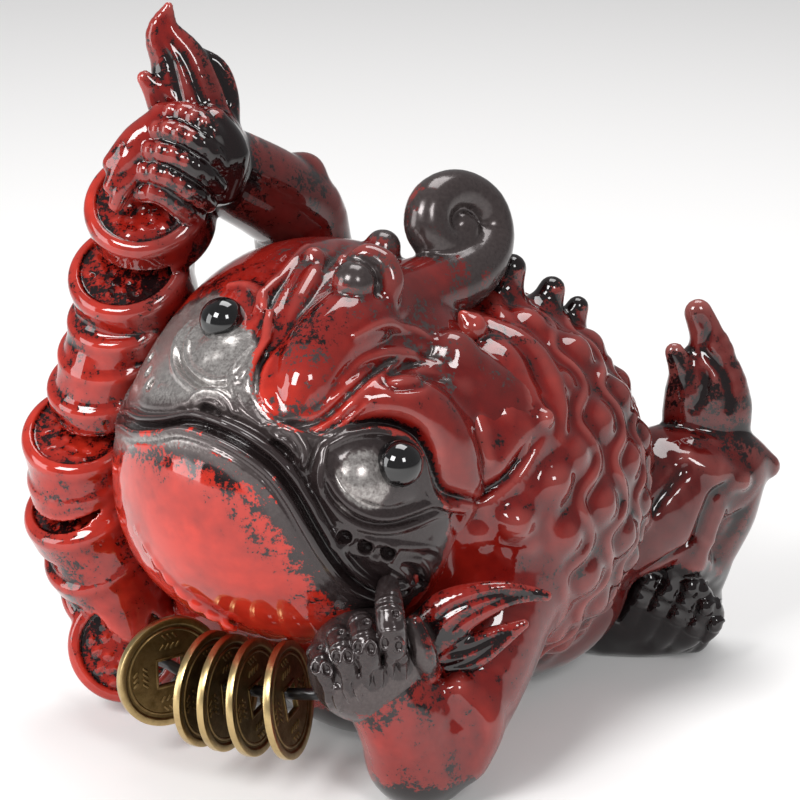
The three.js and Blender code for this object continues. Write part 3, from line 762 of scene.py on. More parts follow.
def bumps(material, pattern, strength, height):
    """The way the surface faces, with a pattern raised on it by a height in metres."""
    sockets = {"Height": pattern, "Strength": strength, "Distance": height}
    return add_node(material, "ShaderNodeBump", sockets).outputs["Normal"]


glaze = new_material("red_flambe_glaze_on_stoneware")
dark, satin_slip, hollow, thick = (stored(glaze, name) for name in ("dark", "satin", "hollow", "thick"))
clouds = grain(glaze, 16, 3, 0.55)
patches = grain(glaze, 3.2, 2)
specks = grain(glaze, 0.9, 5, 0.72)
CLOUDS, PATCHES, SPECKS = 1.3, 1.0, 1.6  # how much each noise breaks the edge of the dark
broken = reckoned(glaze, "MULTIPLY_ADD", hollow, 0.45, dark)
for noise, gain in ((clouds, CLOUDS), (patches, PATCHES), (specks, SPECKS)):
    broken = reckoned(glaze, "MULTIPLY_ADD", noise, gain, broken)
middle = (CLOUDS + PATCHES + SPECKS) / 2
darkness = mapped(glaze, broken, middle - 0.04, middle + 0.12, interpolation_type="SMOOTHSTEP")
# The red runs deeper where the stored thick value is higher. That value is set higher towards the right and the back of
# the figure, on the crown and the raised arm, and lower on the throat.
depth = thick
for value, gain in ((hollow, 0.45), (clouds, 0.8), (patches, 0.35)):
    depth = reckoned(glaze, "MULTIPLY_ADD", value, gain, depth)
reds = ramp(
    glaze,
    mapped(glaze, depth, 0.3, 1.7),
    [(0.1, "#BA2B1B"), (0.35, "#8A1B12"), (0.65, "#600F0D"), (1.0, "#320A08")],
)
# Where thick glaze has run off a crest it stays milky.
milk = reckoned(glaze, "MULTIPLY", mapped(glaze, hollow, 0.0, -0.7, end=0.65), thick)
milky = mixed(glaze, milk, reds, linear("#96605B"))
# The slip is rubbed light in fine grains.
rubbed = reckoned(glaze, "MULTIPLY", reckoned(glaze, "MULTIPLY_ADD", specks, 0.9, 0.55), satin_slip)
slips = ramp(glaze, rubbed, [(0, "#140A0B"), (0.3, "#332A2A"), (0.6, "#5A5150"), (1.0, "#D2CECA")])
satin_here = reckoned(glaze, "MULTIPLY", darkness, satin_slip)
glaze_surface = {
    "Base Color": mixed(glaze, darkness, milky, slips),
    "Roughness": mapped(glaze, satin_here, 0.0, 0.6, 0.05, 0.27),
    "Metallic": reckoned(glaze, "MULTIPLY", satin_here, 0.9, clamp=True),
    "IOR": 1.55,
    "Coat Weight": 0.15,
    "Coat Roughness": 0.03,
    "Normal": bumps(glaze, grain(glaze, 7, 2), strength=0.1, height=0.0006),
}
finish_material(glaze, glaze_surface)


def dress(piece):
    """Gives a piece of the casting its glaze and its place on the figure."""
    piece.data.materials.append(glaze)
    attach(piece, "root")


dress(head_piece)

# Eyes: two balls of clay under a glass-black gloss glaze, set in under the brows and fired with the
# rest. Each is one smooth ball, since only its front shows between the lids.
eye_black = new_material("gloss_black_glaze")
finish_material(eye_black, {"Base Color": linear("#0B0A0B"), "Roughness": 0.05, "IOR": 1.55, "Coat Weight": 0.5})
EYE_RADIUS = 5.7 * unit
bpy.ops.object.select_all(action="DESELECT")
for name, longitude in (("left_eye", 42), ("right_eye", -32.5)):
    centre = on_head(longitude, 22.5, 50.2)
    bpy.ops.mesh.primitive_uv_sphere_add(segments=64, ring_count=32, radius=EYE_RADIUS, location=centre * unit)
    eye = bpy.context.active_object
    eye.name = name
    bpy.ops.object.transform_apply(location=True, rotation=True, scale=True)
    bpy.ops.object.shade_smooth()
    eye.data.materials.append(eye_black)
    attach(eye, "root")
    eye.select_set(False)

# Body: the round trunk with its warty back, the belly it sits on, the raised arm, the arm it leans
# on and the hind leg, with the flame tuft on the leg. All of it is cast in one with the head.
trunk = v(12.5, 22, 60.5)
clay = Clay((-66, -62, -2), (104, 82, 152), step=0.72)
TRUNK_RADII = (51.5, 52, 51.5)
clay.ball(trunk, TRUNK_RADII)
# Folds and warts run round the back in rings, the folds waving between the warts.
back = normalized(v(0.783, 0.564, -0.261))
back_up = normalized(v(0, 0, 1) - back[2] * back)
back_side = np.cross(back, back_up)


def on_back(tilt, turn, reach):
    """A place on the trunk: the tilt from the pole of the back and the turn round it, in degrees."""
    tilt, turn = math.radians(tilt), math.radians(turn)
    round_it = math.cos(turn) * back_up + math.sin(turn) * back_side
    return trunk + reach * (math.cos(tilt) * back + math.sin(tilt) * round_it)


def along_back(places, reach):
    return [on_back(tilt, turn, reach) for tilt, turn in places]


WARTS_IN_RING = 16
for i, tilt in enumerate([10, 24, 38, 52, 66, 80, 93]):
    waves = WARTS_IN_RING if tilt > 40 else 12 if tilt > 15 else 6
    for j in range(waves):
        turn = 360 * (j + 0.5 * (i % 2)) / waves
        size = min(5.6, 1.1 + 330 * math.sin(math.radians(tilt)) / waves / 4.2) + 0.5 * math.sin(2.4 * j + i)
        wart = on_back(tilt, turn + 1.5 * math.sin(1.7 * j + 3 * i), 51.8 - 0.5 * size)
        if wart[2] > 14:
            clay.ball(wart, size, 2.6)
    if tilt < 90:
        between = tilt + 7
        fold = []
        for turn in np.linspace(0, 360, 10 * waves + 1):
            wave = 3.2 * math.cos(math.radians(waves * turn + 180 * (i % 2)))
            fold.append(on_back(between + wave, turn, 51.9 + 0.4 * math.sin(5 * turn)))
        fold = np.array([place for place in fold if place[2] > 10])
        breaks = [k for k in range(1, len(fold)) if np.linalg.norm(fold[k] - fold[k - 1]) > 9]
        for run in np.split(fold, breaks):
            if len(run) > 3:
                clay.roll(run, [0.6, 1.4, 1.5, 1.4, 1.5, 1.4, 0.6], 1.6)
# Folds of skin between the cheek and the first ring.
for path, radii in [
    (
        [(99, -10), (97, 8), (101, 22), (97, 38), (101, 52), (97, 68), (100, 84), (94, 98), (97, 112)],
        [1, 2.4, 2.2, 2.4, 2.2, 2.4, 2.2, 1.8, 0.8],
    ),
    ([(112, 10), (107, 24), (110, 40), (106, 56), (109, 72), (105, 86), (109, 98)], [1, 2.6, 2.8, 3, 3, 2.4, 0.8]),
    ([(118, 60), (114, 72), (117, 84), (112, 96)], [1, 2.8, 2.6, 0.8]),
    ([(104, 46), (102, 58), (105, 66)], [1, 2.6, 1]),
]:
    clay.roll(along_back(path, 51), radii, 2.6)
for tilt, turn, size in [(104, 92, 3.8), (112, 84, 4), (118, 92, 3.4), (106, 78, 4.6)]:
    clay.ball(on_back(tilt, turn, 52 - 0.6 * size), size, 2.4)
# The jowl, a broad mound that the first folds run round.
for tilt, turn, reach, size in [(110, 40, 45, 12.5), (111, 56, 45.5, 13), (119, 68, 45, 11.5), (122, 50, 44, 13)]:
    clay.ball(on_back(tilt, turn, reach), size, 5)
# Over it lie a fold with three lines in it, warts and a small pit.
clay.smooth(1)
clay.roll(
    along_back([(108, 24), (103, 31), (99, 39), (97.5, 47), (97, 55), (99, 62)], 53),
    [1, 2.4, 2.8, 2.8, 2.4, 1],
    3,
)
clay.tool(along_back([(108, 30), (103.5, 40), (102, 50), (100.5, 55)], 56), 2.4, [0.2, 1.2, 1.6, 0.3], trunk)
clay.tool(along_back([(104, 51), (102.6, 53), (100.4, 56)], 56), 1.0, [0.2, 1.6, 0.3], trunk)
jowl = [(105.5, 62), (109, 66), (112, 70), (115, 74), (120, 78), (126, 81), (132, 80)]
clay.tool(along_back(jowl, 56), 1.6, [0.5, 2, 2.4, 2.4, 2.2, 1.8, 0.6], trunk)
clay.ball(on_back(104, 58, 57), 2.4, 1.4)
clay.roll(along_back([(121, 36), (122.5, 44), (122.5, 54), (121, 63), (119.6, 69)], 57), [1.6, 3.2, 3.2, 2.8, 1], 3)
clay.ball(on_back(117.4, 53.4, 57.6), [1.3, 1.6, 3], 0.8, cut=True)
clay.ball(on_back(115, 55, 54.6), 3.6, 3)
clay.ball(on_back(115, 28.4, 57), 3.9, 2)
clay.ball(on_back(116.6, 26, 60), 1.5, 1.2)
clay.ball(on_back(110, 86, 52.5), 4.4, 3)
clay.ball(on_back(100, 74, 51.6), 4.8, 3)
# The skin runs softly up to the head, whose ball goes on inside.
clay.ball(head, 45.8, 5)
neck = normalized(trunk - head)
window, places = clay.region(head - 56, head + 56)
clay.field[window] = np.maximum(clay.field[window], 8 - (places - head) @ neck)
clay.ball((-6, 6, 33), [35, 32, 35.5], 5)
clay.ball((22, 33, 29), [40, 30, 30], 5)
clay.ball((-38, 12, 36), 21.5, 6)
clay.ball((-30, 14, 20), [18, 16, 21], 4)
clay.ball((-48, 16, 16), [16, 14, 17], 4)
# Three knobs on the ridge of the back.
back_knobs = [(28.5, 24, 119, 4.2), (39, 28, 112, 4), (46, 32, 106, 3.4)]
for x, y, z, size in back_knobs:
    clay.roll([(x - 3, y - 1, z - 13), (x - 1, y, z - 5), (x, y, z - 2)], [size + 3, size + 0.6, size - 0.4], 2)
# The raised arm, from the shoulder to the wrist, with the point of its elbow.
raised_arm = [(-18, 40, 100), (-24.5, 43, 113), (-26.5, 43.5, 125), (-33, 36, 133), (-41, 28, 140), (-48, 21, 146)]
clay.roll(raised_arm, [15, 13, 12.5, 12, 11.5, 10.5], 4)
clay.ball((-25, 44, 137), [5.5, 5, 5], 3)
# The arm that it leans on, with its elbow on the ground.
clay.roll([(24, -14, 46), (19, -26, 32), (11, -36, 18), (5, -40, 12.6)], [17, 15, 13.8, 13.4], 4)
clay.roll([(5, -40, 12.6), (1, -43.5, 24), (-5, -45, 36)], [13.4, 12, 11], 2)
clay.roll([(14, -45, 32), (19, -43, 22), (17, -44, 12)], [3, 6, 4], 5)
clay.tool(clay.seen([(17, -50, 29), (19, -50, 22), (16, -50, 15)], v(0, -1, 0.2), 5), 2.0, [0.2, 1.0, 0.2])
clay.tool([(-36, 14, 132), (-31, 20, 126), (-27, 31, 119), (-25, 30, 112)], 1.8, [0.3, 1.8, 1.6, 0.3])
# The hind leg: thigh, shin and the point of the knee.
clay.roll([(52, 34, 40), (62, 37, 46), (74, 41, 52), (86, 45, 55)], [16, 18.5, 16, 11.6], 3)
clay.roll([(87.5, 45, 54), (85.5, 47, 40), (82, 48, 26), (79, 48, 18)], [11.6, 11, 8.8, 9], 2)
clay.roll([(88, 46, 56), (95, 46.5, 55.5), (99.4, 47, 54)], [7.5, 5.8, 3.4], 2.4)
clay.roll([(70, 34, 38), (78, 36, 31), (83, 41, 26)], [5, 6, 4], 3)
clay.smooth(1)
clay.tool([(62, 22, 30), (70, 24.5, 36), (78, 31, 41), (84, 36, 44), (92, 38, 45)], 1.5, [0.5, 2.6, 3, 2.2, 0.5])
clay.tool([(92, 40, 62), (95, 40, 54), (93, 38, 47)], 1.2, [0.3, 1.4, 0.4])
clay.tool([(60, 19, 42), (66, 21, 52), (74, 27, 60), (80, 33, 65)], 1.6, [0.3, 1.4, 1.2, 0.3])
# Foot: a broad sole with four long toes, each with knuckles and a claw.
clay.roll([(46, 46, 7), (62, 46, 11), (76, 46, 12)], [7, 10.4, 10.4], 2)
clay.roll([(62, 43, 11), (70, 43, 18.5), (79, 43, 15)], [8, 8.6, 6.6], 2)
toes = [
    [
        (60.5, 40.5, 6.4), (63.4, 37.5, 15.5), (66.9, 36, 25), (70.1, 37, 29.4), (72.6, 35, 29.6),
        (73.4, 33, 26.5), (73, 32, 22),
    ],
    [
        (65.2, 40, 6), (68.4, 36.5, 14.5), (72.1, 34.5, 23), (75.2, 35, 26.8), (77.4, 33, 26),
        (77.6, 31.6, 22.4), (76.6, 31.4, 18),
    ],
    [
        (70.6, 39.5, 5.6), (73.6, 35.8, 12.4), (76.8, 33.5, 20), (79.6, 34, 23.2), (81.6, 32.4, 22),
        (81.8, 31.2, 18), (80.2, 31, 13.6),
    ],
    [
        (75.6, 39.5, 5.2), (78.6, 35.5, 10), (81, 33.5, 16), (83.2, 34.4, 18.6), (84.6, 32.6, 17.4),
        (84.4, 31.6, 13.4), (82.4, 31.4, 9.4),
    ],
]
clay.roll([(60, 50, 10), (72, 50, 15), (80, 50, 13)], [10, 11, 9], 2)
clay.roll([(46, 48, 3), (66, 48, 5), (80, 47, 4.6)], [5, 6.4, 6], 2)
clay.roll([(56, 43, 4.6), (68, 42, 5), (77, 42, 5.4)], [4.4, 4.8, 4.4], 1.5)


def ways_along(spine):
    """The direction of a curve at each of its points."""
    ways = np.gradient(spine, axis=0)
    return ways / np.linalg.norm(ways, axis=1, keepdims=True)


def knuckle(spine, share, shown):
    """A place along a toe or finger, its way along, its way out on the shown side and its way across."""
    k = int(share * (len(spine) - 1))
    way = ways_along(spine)[k]
    out = normalized(shown - way * (shown @ way))
    return spine[k], way, out, np.cross(way, out)


def arch(centre, out, across, reach, points):
    """An arc over a toe or finger, from one side to the other."""
    return [centre + reach * (math.cos(a) * out + math.sin(a) * across) for a in np.linspace(-1.1, 1.1, points)]


for toe in toes:
    clay.roll(toe, [3.0, 3.7, 4.2, 3.6, 3.0, 2.5, 1.1], 0.5)
    spine = curve(toe, 0.5)[0]
    for share in (0.42, 0.56, 0.7, 0.82):
        centre, way, out, across = knuckle(spine, share, v(0.1, -0.8, 0.5))
        clay.ball(centre + 1.8 * out, 3.2 - 1.2 * share, 0.5)
        over = arch(centre, out, across, 4.4 - 1.6 * share, 7)
        clay.roll(over - 1.6 * way, [0.3, 0.8, 0.9, 0.8, 0.3], 0.4)
# The flames are pressed flat and grooved on the side that shows.
viewer = normalized(v(0, -1, 0.2))


def flame(clay, points, radii):
    """A flat tongue of flame, with two grooves along its shown side."""
    clay.roll(points, radii, soft=1.4, flat=0.62, normal=viewer)
    spine, shares = curve(points, 2)
    wide = spread(radii, shares)
    aside = np.cross(viewer, ways_along(spine))
    for place in (-0.36, 0.3):
        groove = viewer * (0.55 * wide)[:, None] + aside * (place * wide * (1 - 0.4 * shares))[:, None]
        clay.tool((spine + groove)[1:-2], 0.7 + 0.05 * max(radii), [0.2, 1.1, 1.1, 0.3])


leg_flame = [
    (
        [(83, 47, 63), (82.5, 47, 72), (81.8, 47, 80), (82.6, 47, 86), (81.2, 47, 92), (79, 47, 97.4)],
        [11, 12, 10.8, 7.2, 4.6, 3.8],
    ),
    ([(78, 45, 68), (76.4, 44.6, 77), (74.8, 44, 83), (72.8, 44, 87.4)], [8, 6.4, 4, 2.7]),
]
for points, radii in leg_flame:
    clay.roll(points, radii, soft=1.4, flat=0.66, normal=viewer)
for line in (
    [(74.5, 38, 91), (77.3, 38, 88.5), (80.6, 38, 84), (80.8, 38, 78.4), (77.8, 38, 73.4)],
    [(79.2, 40, 98), (81.4, 40, 95), (80.3, 40, 90.6), (83.4, 40, 85.6), (86.8, 40, 79.9), (87.1, 40, 73.2)],
):
    clay.tool(clay.seen(line, viewer, 4), 1.2, [0.3, 1.1, 1.3, 1.1, 0.3])
for line, radii in (
    ([(76, 28, 63), (83, 28, 59), (91, 28, 56)], [1.6, 3.4, 1.6]),
    ([(84, 32, 46), (81, 32, 39), (79, 32, 32)], [1, 3, 1.4]),
):
    clay.roll(clay.seen(line, viewer, 5), radii, 4)
for line in (
    [(91, 32, 58), (82.8, 32, 52.4), (79.4, 32, 44.3), (77.6, 32, 36.3)],
    [(84, 32, 30), (88, 32, 38), (92, 32, 47)],
):
    clay.tool(clay.seen(line, viewer, 5), 1.9, [0.2, 1.6, 1.6, 0.3])
clay.level()
body_piece, places = clay.skin("toad_body", spare=0.02)
# The glaze breaks where the left fist joins its wrist: above this line it is dark.
WRIST, TO_FIST = v(-1.6, -50, 31.9), v(-0.623, 0, 0.783)
wrist_dark = inside(places, [(-12, -50, 30), (6, -50, 34)], [13, 12]) * 0.5
wrist_dark = np.minimum(0.25 * ((places - WRIST) @ TO_FIST), wrist_dark)
foot_dark = inside(places, [(36, 40, 4), (50, 42, 7), (68, 44, 12), (84, 44, 9)], [9, 16, 20, 18]) * 1.3
for toe in toes:
    foot_dark = np.maximum(foot_dark, inside(places, toe, [8.5]) * 0.9)
flame_dark = np.max([inside(places, points, np.array(radii) + 1) for points, radii in leg_flame], axis=0)
flame_dark = np.minimum(flame_dark * 0.3, 0.2) - 0.6
# Painted shade: the glaze is darkened low on the body, within a few units of the ground, where shade falls under it.
underside_painted_shade = np.where(places[:, 0] > -14, 9, 13) - places[:, 2]
knob_dark = np.max([6 - np.linalg.norm(places - v(x, y, z + 2), axis=1) for x, y, z, size in back_knobs], axis=0)
knob_dark, underside_painted_shade = np.minimum(knob_dark, 4), np.minimum(underside_painted_shade, 3)
arm_dark = np.where(places[:, 2] > 106, -1.2, -9)
arm_thick = np.where(places[:, 2] > 96, 0.75, 0) * (places[:, 0] < 0)
paint(
    body_piece,
    dark=zones(foot_dark, wrist_dark, flame_dark, knob_dark, underside_painted_shade, arm_dark, base=-2.4),
    thick=np.clip(arm_thick + np.clip(0.36 + 0.007 * places[:, 0], 0.3, 0.9), 0, 0.85),
    satin=np.zeros(len(places)),
    hollow=clay.hollowness(places),
)
dress(body_piece)

# String of thick clay coins with the right fist that holds it, and the flame on the wrist: part of
# the same casting. The coins between the shown ones are only ribs of one bent rope of clay.
clay = Clay((-101, -12, -1), (-30, 46, 190), step=0.55)


def clay_disc(clay, centre, facing, radius, half, faced):
    """A thick coin with a rounded wall and, where it is faced, a raised rim round a sunk field."""
    seam = 1.0
    facing = normalized(facing)
    reach = radius + seam + RIM
    window, places = clay.region(centre - reach, centre + reach)
    offset = (places - centre).astype(np.float32)
    height = offset @ facing.astype(np.float32)
    out = np.linalg.norm(offset - height[..., None] * facing.astype(np.float32), axis=-1)
    edge = min(2.8, 0.55 * half)
    q1, q2 = out - radius + edge, np.abs(height) - half + edge
    outside = np.linalg.norm(np.stack([np.maximum(q1, 0), np.maximum(q2, 0)]), axis=0)
    clay.join(window, outside + np.minimum(np.maximum(q1, q2), 0) - edge, seam)
    if faced:
        field = np.maximum(out - 0.78 * radius, np.abs(height - half - 1) - 2.0)
        clay.join(window, field, 0.7, cut=True)


def beside(facing):
    """Two directions on the face of a coin: across it and up it."""
    across = normalized(np.cross(v(0, 0, 1), -normalized(facing)))
    return across, np.cross(-normalized(facing), across)


clay.roll([(-60, 24, 128), (-67, 22, 112), (-73, 17.5, 98), (-77, 17, 84)], [10, 12.6, 12.2, 12.2], 2)
clay.roll(
    [(-82, 16, 66), (-81, 15.5, 54), (-77.5, 15, 43), (-72, 14.5, 31), (-70, 14, 23)],
    [13.6, 13.8, 13.4, 13, 12],
    2,
)
coins = [
    (v(-62.7, 19, 132.8), v(-0.12, -0.66, 0.74), 16, 7.5, True),
    (v(-67.6, 18.6, 114.5), v(-0.14, -0.55, 0.82), 15.75, 7.5, True),
    (v(-70.5, 17.6, 105), v(-0.12, -0.4, 0.9), 14, 4.2, False),
    (v(-73.5, 17.6, 96), v(-0.1, -0.4, 0.9), 13.8, 4.2, False),
    (v(-76.5, 17, 87), v(-0.1, -0.4, 0.9), 13.8, 4.2, False),
    (v(-81.8, 16.8, 73.2), v(-0.1, -0.5, 0.85), 15.5, 5.2, True),
    (v(-82, 16, 64), v(-0.2, -0.42, 0.88), 14.4, 4.2, False),
    (v(-81.8, 16, 53.4), v(-0.3, -0.4, 0.86), 15.75, 5.6, True),
    (v(-78.5, 15.4, 42), v(-0.36, -0.5, 0.8), 14.8, 4.2, False),
    (v(-74.5, 15.6, 33), v(-0.3, -0.68, 0.68), 14.8, 4.2, False),
    (v(-71, 14.8, 25), v(-0.15, -0.85, 0.5), 15.4, 3.8, False),
    (v(-71.6, 8.8, 18.8), v(0.03, -0.97, 0.24), 15.2, 4, True),
]
for coin in coins:
    clay_disc(clay, *coin)
# Raised strokes stand in for the writing on the coins. They are no letters.
STROKES = 26
CORD_COIN = 4  # the last coin, which has the cord in its middle
faced = [coin[:4] for coin in coins if coin[4]]
for number, (centre, facing, radius, half) in enumerate(faced):
    across, up = beside(facing)
    facing = normalized(facing)
    top = centre + facing * (half - 1.0)
    for k in range(STROKES):
        angle, far = 2.4 * k + number, radius * 0.66 * math.sqrt((k + 0.5) / STROKES)
        place = top + far * (math.cos(angle) * across + math.sin(angle) * up)
        lean = math.cos(1.9 * k + number) * across + math.sin(1.9 * k + number) * up
        size = 1.1 + 0.9 * math.sin(3.1 * k) ** 2
        if number != CORD_COIN or math.hypot((place - top) @ across, (place - top) @ up) > 3.6:
            ends = [place - lean * size - 0.6 * facing, place + lean * size - 0.6 * facing]
            clay.roll([ends[0], place - 0.3 * facing, ends[1]], [0.3, 0.7, 0.3], 0.9)

# The right fist: the back of the hand and wrist, five rows of knuckles and three finger ends.
clay.ball((-50.5, 18, 149), [12.5, 12, 13], 2)
clay.roll([(-41, 28, 140), (-48, 21, 146)], [11.2, 10.8], 2)
clay.roll([(-46, 12, 158), (-42.5, 12, 150), (-44, 13, 141)], [4, 5.5, 4], 2.5)
finger_rows = [
    [(-59, 14, 160), (-53, 11.5, 160.5), (-46.5, 8.6, 157.4), (-43.4, 9, 153)],
    [(-62, 12.5, 156), (-55, 8, 156.8), (-47, 6, 153.2), (-43.8, 7.8, 148.6)],
    [(-64, 11, 151), (-56.6, 6.4, 152), (-48.4, 5.2, 147.6), (-45, 8, 143)],
    [(-65.4, 10.5, 146), (-58, 6.4, 146.6), (-50.4, 6.4, 141.6), (-47.6, 10, 138)],
    [(-64, 9.6, 141), (-58.6, 7.4, 141.4), (-53, 8.4, 136.6), (-50.4, 12, 133.4)],
]
for finger in finger_rows:
    clay.roll(finger, [2.4, 3.1, 3, 2.3], 0.7)
    for place in curve(finger, 3.3)[0][1:-1]:
        clay.ball(place + v(-0.3, -1.7, 0.5), [1.6, 1.5, 2.4], 0.7)
for points, radii in [
    ([(-58, 14, 158), (-65, 12, 153.6), (-70.6, 11, 148)], [4.4, 3.9, 2.8]),
    ([(-62, 12, 154), (-67.6, 9.8, 148.6), (-71, 9, 143)], [3.8, 3.3, 2.2]),
    ([(-64, 10.5, 148), (-68, 8.4, 143), (-70, 8, 138.6)], [3.2, 2.9, 2]),
]:
    clay.roll(points, radii, 1)
wrist_flame = [
    ([(-50, 21, 152), (-52.5, 22, 163), (-55, 23, 171), (-58.5, 23, 178), (-57, 23, 184.8)], [9.5, 8.8, 7.6, 5, 1.2]),
    ([(-54, 20, 154), (-58.5, 19, 161), (-61, 19, 165), (-63, 19, 167.6)], [6, 5, 3.4, 2]),
    ([(-46, 24, 152), (-45, 25.5, 162), (-46.5, 26, 168), (-52, 26, 173)], [6, 5, 3.8, 1.8]),
]
for points, radii in wrist_flame:
    flame(clay, points, radii)
clay.level()
string_piece, places = clay.skin("toad_coin_string", spare=0.01)
hand_dark = np.minimum(inside(places, [(-46, 12, 149), (-50, 8, 149)], [12, 9]) * 0.3, 1.2)
hand_dark += np.clip((places[:, 0] + 62) * 0.07, 0.1, 1.1)
flame_dark = inside(places, [(-43, 26, 150), (-43.5, 26, 162), (-48, 26, 172), (-54, 24, 182)], [7, 5.5, 5, 3])
coin_dark = np.full(len(places), -9.0)
for centre, facing, radius, half in faced:
    face_way = normalized(facing)
    height = (places - centre) @ face_way
    out = np.linalg.norm(places - centre - height[:, None] * face_way, axis=1)
    in_field = np.minimum(0.78 * radius - out, 2 - np.abs(height - half + 1))
    coin_dark = np.maximum(coin_dark, np.minimum(in_field * 0.5, 0.5))
paint(
    string_piece,
    dark=zones(hand_dark, np.minimum(flame_dark, 2), coin_dark - 0.5, base=-1.1),
    thick=np.clip(0.3 + 0.02 * (places[:, 0] + 70), 0.18, 0.75),
    satin=np.zeros(len(places)),
    hollow=clay.hollowness(places),
)
dress(string_piece)

# Left fist under the cheek, with scaly fingers, and the flame that blows back from the wrist: part of
# the same casting, glazed gunmetal on the fist.
clay = Clay((-30, -64, 18), (42, -28, 66), step=0.4)
clay.ball((-8, -45, 38.5), [14.4, 12.5, 14.5], 1)
fingers = [
    ([(-2.8, -47, 60), (-2.7, -53, 59), (-2.1, -57.6, 54.6), (-1.4, -57, 49), (-0.9, -53, 43)], 3.4),
    ([(-9.2, -45, 50), (-8.8, -53.4, 51.6), (-7.7, -57.8, 48), (-6.6, -54.4, 40.6)], 3.3),
    ([(-14.8, -44, 46.4), (-14.3, -52.8, 48.2), (-12.8, -57, 45.2), (-11.2, -53.6, 38)], 3.0),
    ([(-19.4, -42.6, 40.6), (-19.2, -50.4, 43), (-17.8, -54.6, 40.6), (-16, -51.6, 34.4)], 2.6),
]
for finger, thick in fingers:
    clay.roll(finger, [thick * 0.8, thick, thick * 1.05, thick * 0.9, thick * 0.35], 0.5)
    spine = curve(finger, 0.4)[0]
    for share in (0.3, 0.36, 0.52):
        centre, way, out, across = knuckle(spine, share, v(0, -1, 0.3))
        clay.roll(arch(centre, out, across, thick, 9), [0.2, 0.6, 0.65, 0.6, 0.2], 0.3)
    for share, aslant, wide, high in ((0.43, -0.45, 1.0, 1.2), (0.63, -0.35, 1.2, 1.9), (0.6, 0.6, 0.9, 1.7)):
        centre, way, out, across = knuckle(spine, share, v(0, -1, 0.3))
        ring_at = centre + thick * (math.cos(aslant) * out + math.sin(aslant) * across)
        turns = np.linspace(0, 2 * math.pi, 17)
        clay.roll([ring_at + wide * math.cos(a) * across + high * math.sin(a) * way for a in turns], [0.5], 0.3)
        clay.ball(ring_at + 0.3 * out, [0.8, 0.8, 0.8 * high / wide], 0.3, cut=True)
# Each finger ends in two pointed scales that lie on the palm.
for finger, thick in fingers:
    for aside in (-0.42 * thick, 0.42 * thick):
        claw = finger[-1] + np.array([(aside, -3, 2.6), (1.1 * aside, -3, -0.6), (1.1 * aside + 0.5, -3, -4)])
        clay.roll(clay.seen(claw, viewer, 1.2), [1.5, 1.3, 0.3], 0.4)
clay.roll([(6.5, -47, 38), (5.4, -51.5, 45), (3.2, -51, 52)], [3.6, 3.2, 2.2], 0.8)
fist_flame = [
    ([(6, -39, 42), (13, -40, 50), (24, -40, 54.5), (31, -38, 54), (35.5, -37.5, 53.2)], [7, 6.6, 4.8, 2.8, 1.3]),
    ([(8, -38, 37), (17, -40, 39.5), (24, -39, 43), (30, -38, 46)], [6, 5.2, 3.4, 1.3]),
    ([(8, -38, 31), (17, -38, 31), (22, -37, 33.5), (26, -36.5, 37)], [5, 4.4, 3, 1.3]),
]
for points, radii in fist_flame:
    flame(clay, points, radii)
fist_piece, places = clay.skin("toad_left_fist")
fist_mask = inside(places, [(-7, -47, 40), (-10, -50, 46)], [17, 16])
on_finger = np.full(len(places), -9.0)
for finger, thick in fingers:
    fist_mask = np.maximum(fist_mask, inside(places, finger, [thick + 3]))
    on_finger = np.maximum(on_finger, inside(places, finger, [thick + 1.2]))
fist_mask = np.minimum(fist_mask, 0.45 * (places - WRIST) @ TO_FIST)
flame_dark = 0.3 * np.max([inside(places, line[1:], np.array(radii[1:]) + 1) for line, radii in fist_flame[:2]], axis=0)
paint(
    fist_piece,
    dark=zones(fist_mask, np.minimum(flame_dark, 0.4) - 0.3, base=-2.6),
    thick=np.full(len(places), 0.45),
    satin=np.clip(fist_mask / 2, 0, 0.5) * np.where(on_finger > 0, 0.62, 1),
    hollow=clay.hollowness(places),
)
dress(fist_piece)
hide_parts("toad")

# Cord: black waxed cotton cord, 2.8 mm thick, that runs from the clay string through the five brass
# coins into the left fist. Both ends are set in holes in the casting, so it is held at both.
bpy.ops.object.select_all(action="DESELECT")
cord_route = [
    (-68.8, 6, 19.6), (-67.8, -2, 22), (-64.6, -9.5, 24.2), (-58.6, -16.2, 25), (-52.6, -23.6, 25.2),
    (-46.6, -29, 25.8), (-40.4, -32.4, 26.2), (-34.8, -35.4, 26.7), (-26.8, -39.4, 28), (-18.5, -42.4, 29.2),
    (-11, -44.4, 29.8),
]
CORD_THICKNESS = 0.0028
line = curve(cord_route, 1.0)[0]
cord_curve = bpy.data.curves.new("cord", "CURVE")
cord_curve.dimensions = "3D"
cord_curve.bevel_depth = CORD_THICKNESS / 2
cord_curve.bevel_resolution = 5
cord_curve.use_fill_caps = True
spline = cord_curve.splines.new("POLY")
spline.points.add(len(line) - 1)
for point, place in zip(spline.points, line * unit):
    point.co = (*place, 1)
cord = bpy.data.objects.new("cord", cord_curve)
bpy.context.scene.collection.objects.link(cord)
bpy.context.view_layer.objects.active = cord
cord.select_set(True)
bpy.ops.object.convert(target="MESH")
bpy.ops.object.shade_smooth()
cord = bpy.context.active_object
waxed_cotton = new_material("black_waxed_cotton_cord")
where = add_node(waxed_cotton, "ShaderNodeTexCoord").outputs["Object"]
strands = add_node(
    waxed_cotton,
    "ShaderNodeTexWave",
    {"Vector": where, "Scale": per(4), "Distortion": 1.5, "Detail": 1},
    bands_direction="DIAGONAL",
)
cord_surface = {
    "Base Color": linear("#151416"),
    "Roughness": 0.3,
    "IOR": 1.5,
    "Normal": bumps(waxed_cotton, strands.outputs["Fac"], strength=0.25, height=0.0002),
}
cord.data.materials.append(finish_material(waxed_cotton, cord_surface))
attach(cord, "root")
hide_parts("coin_cord")

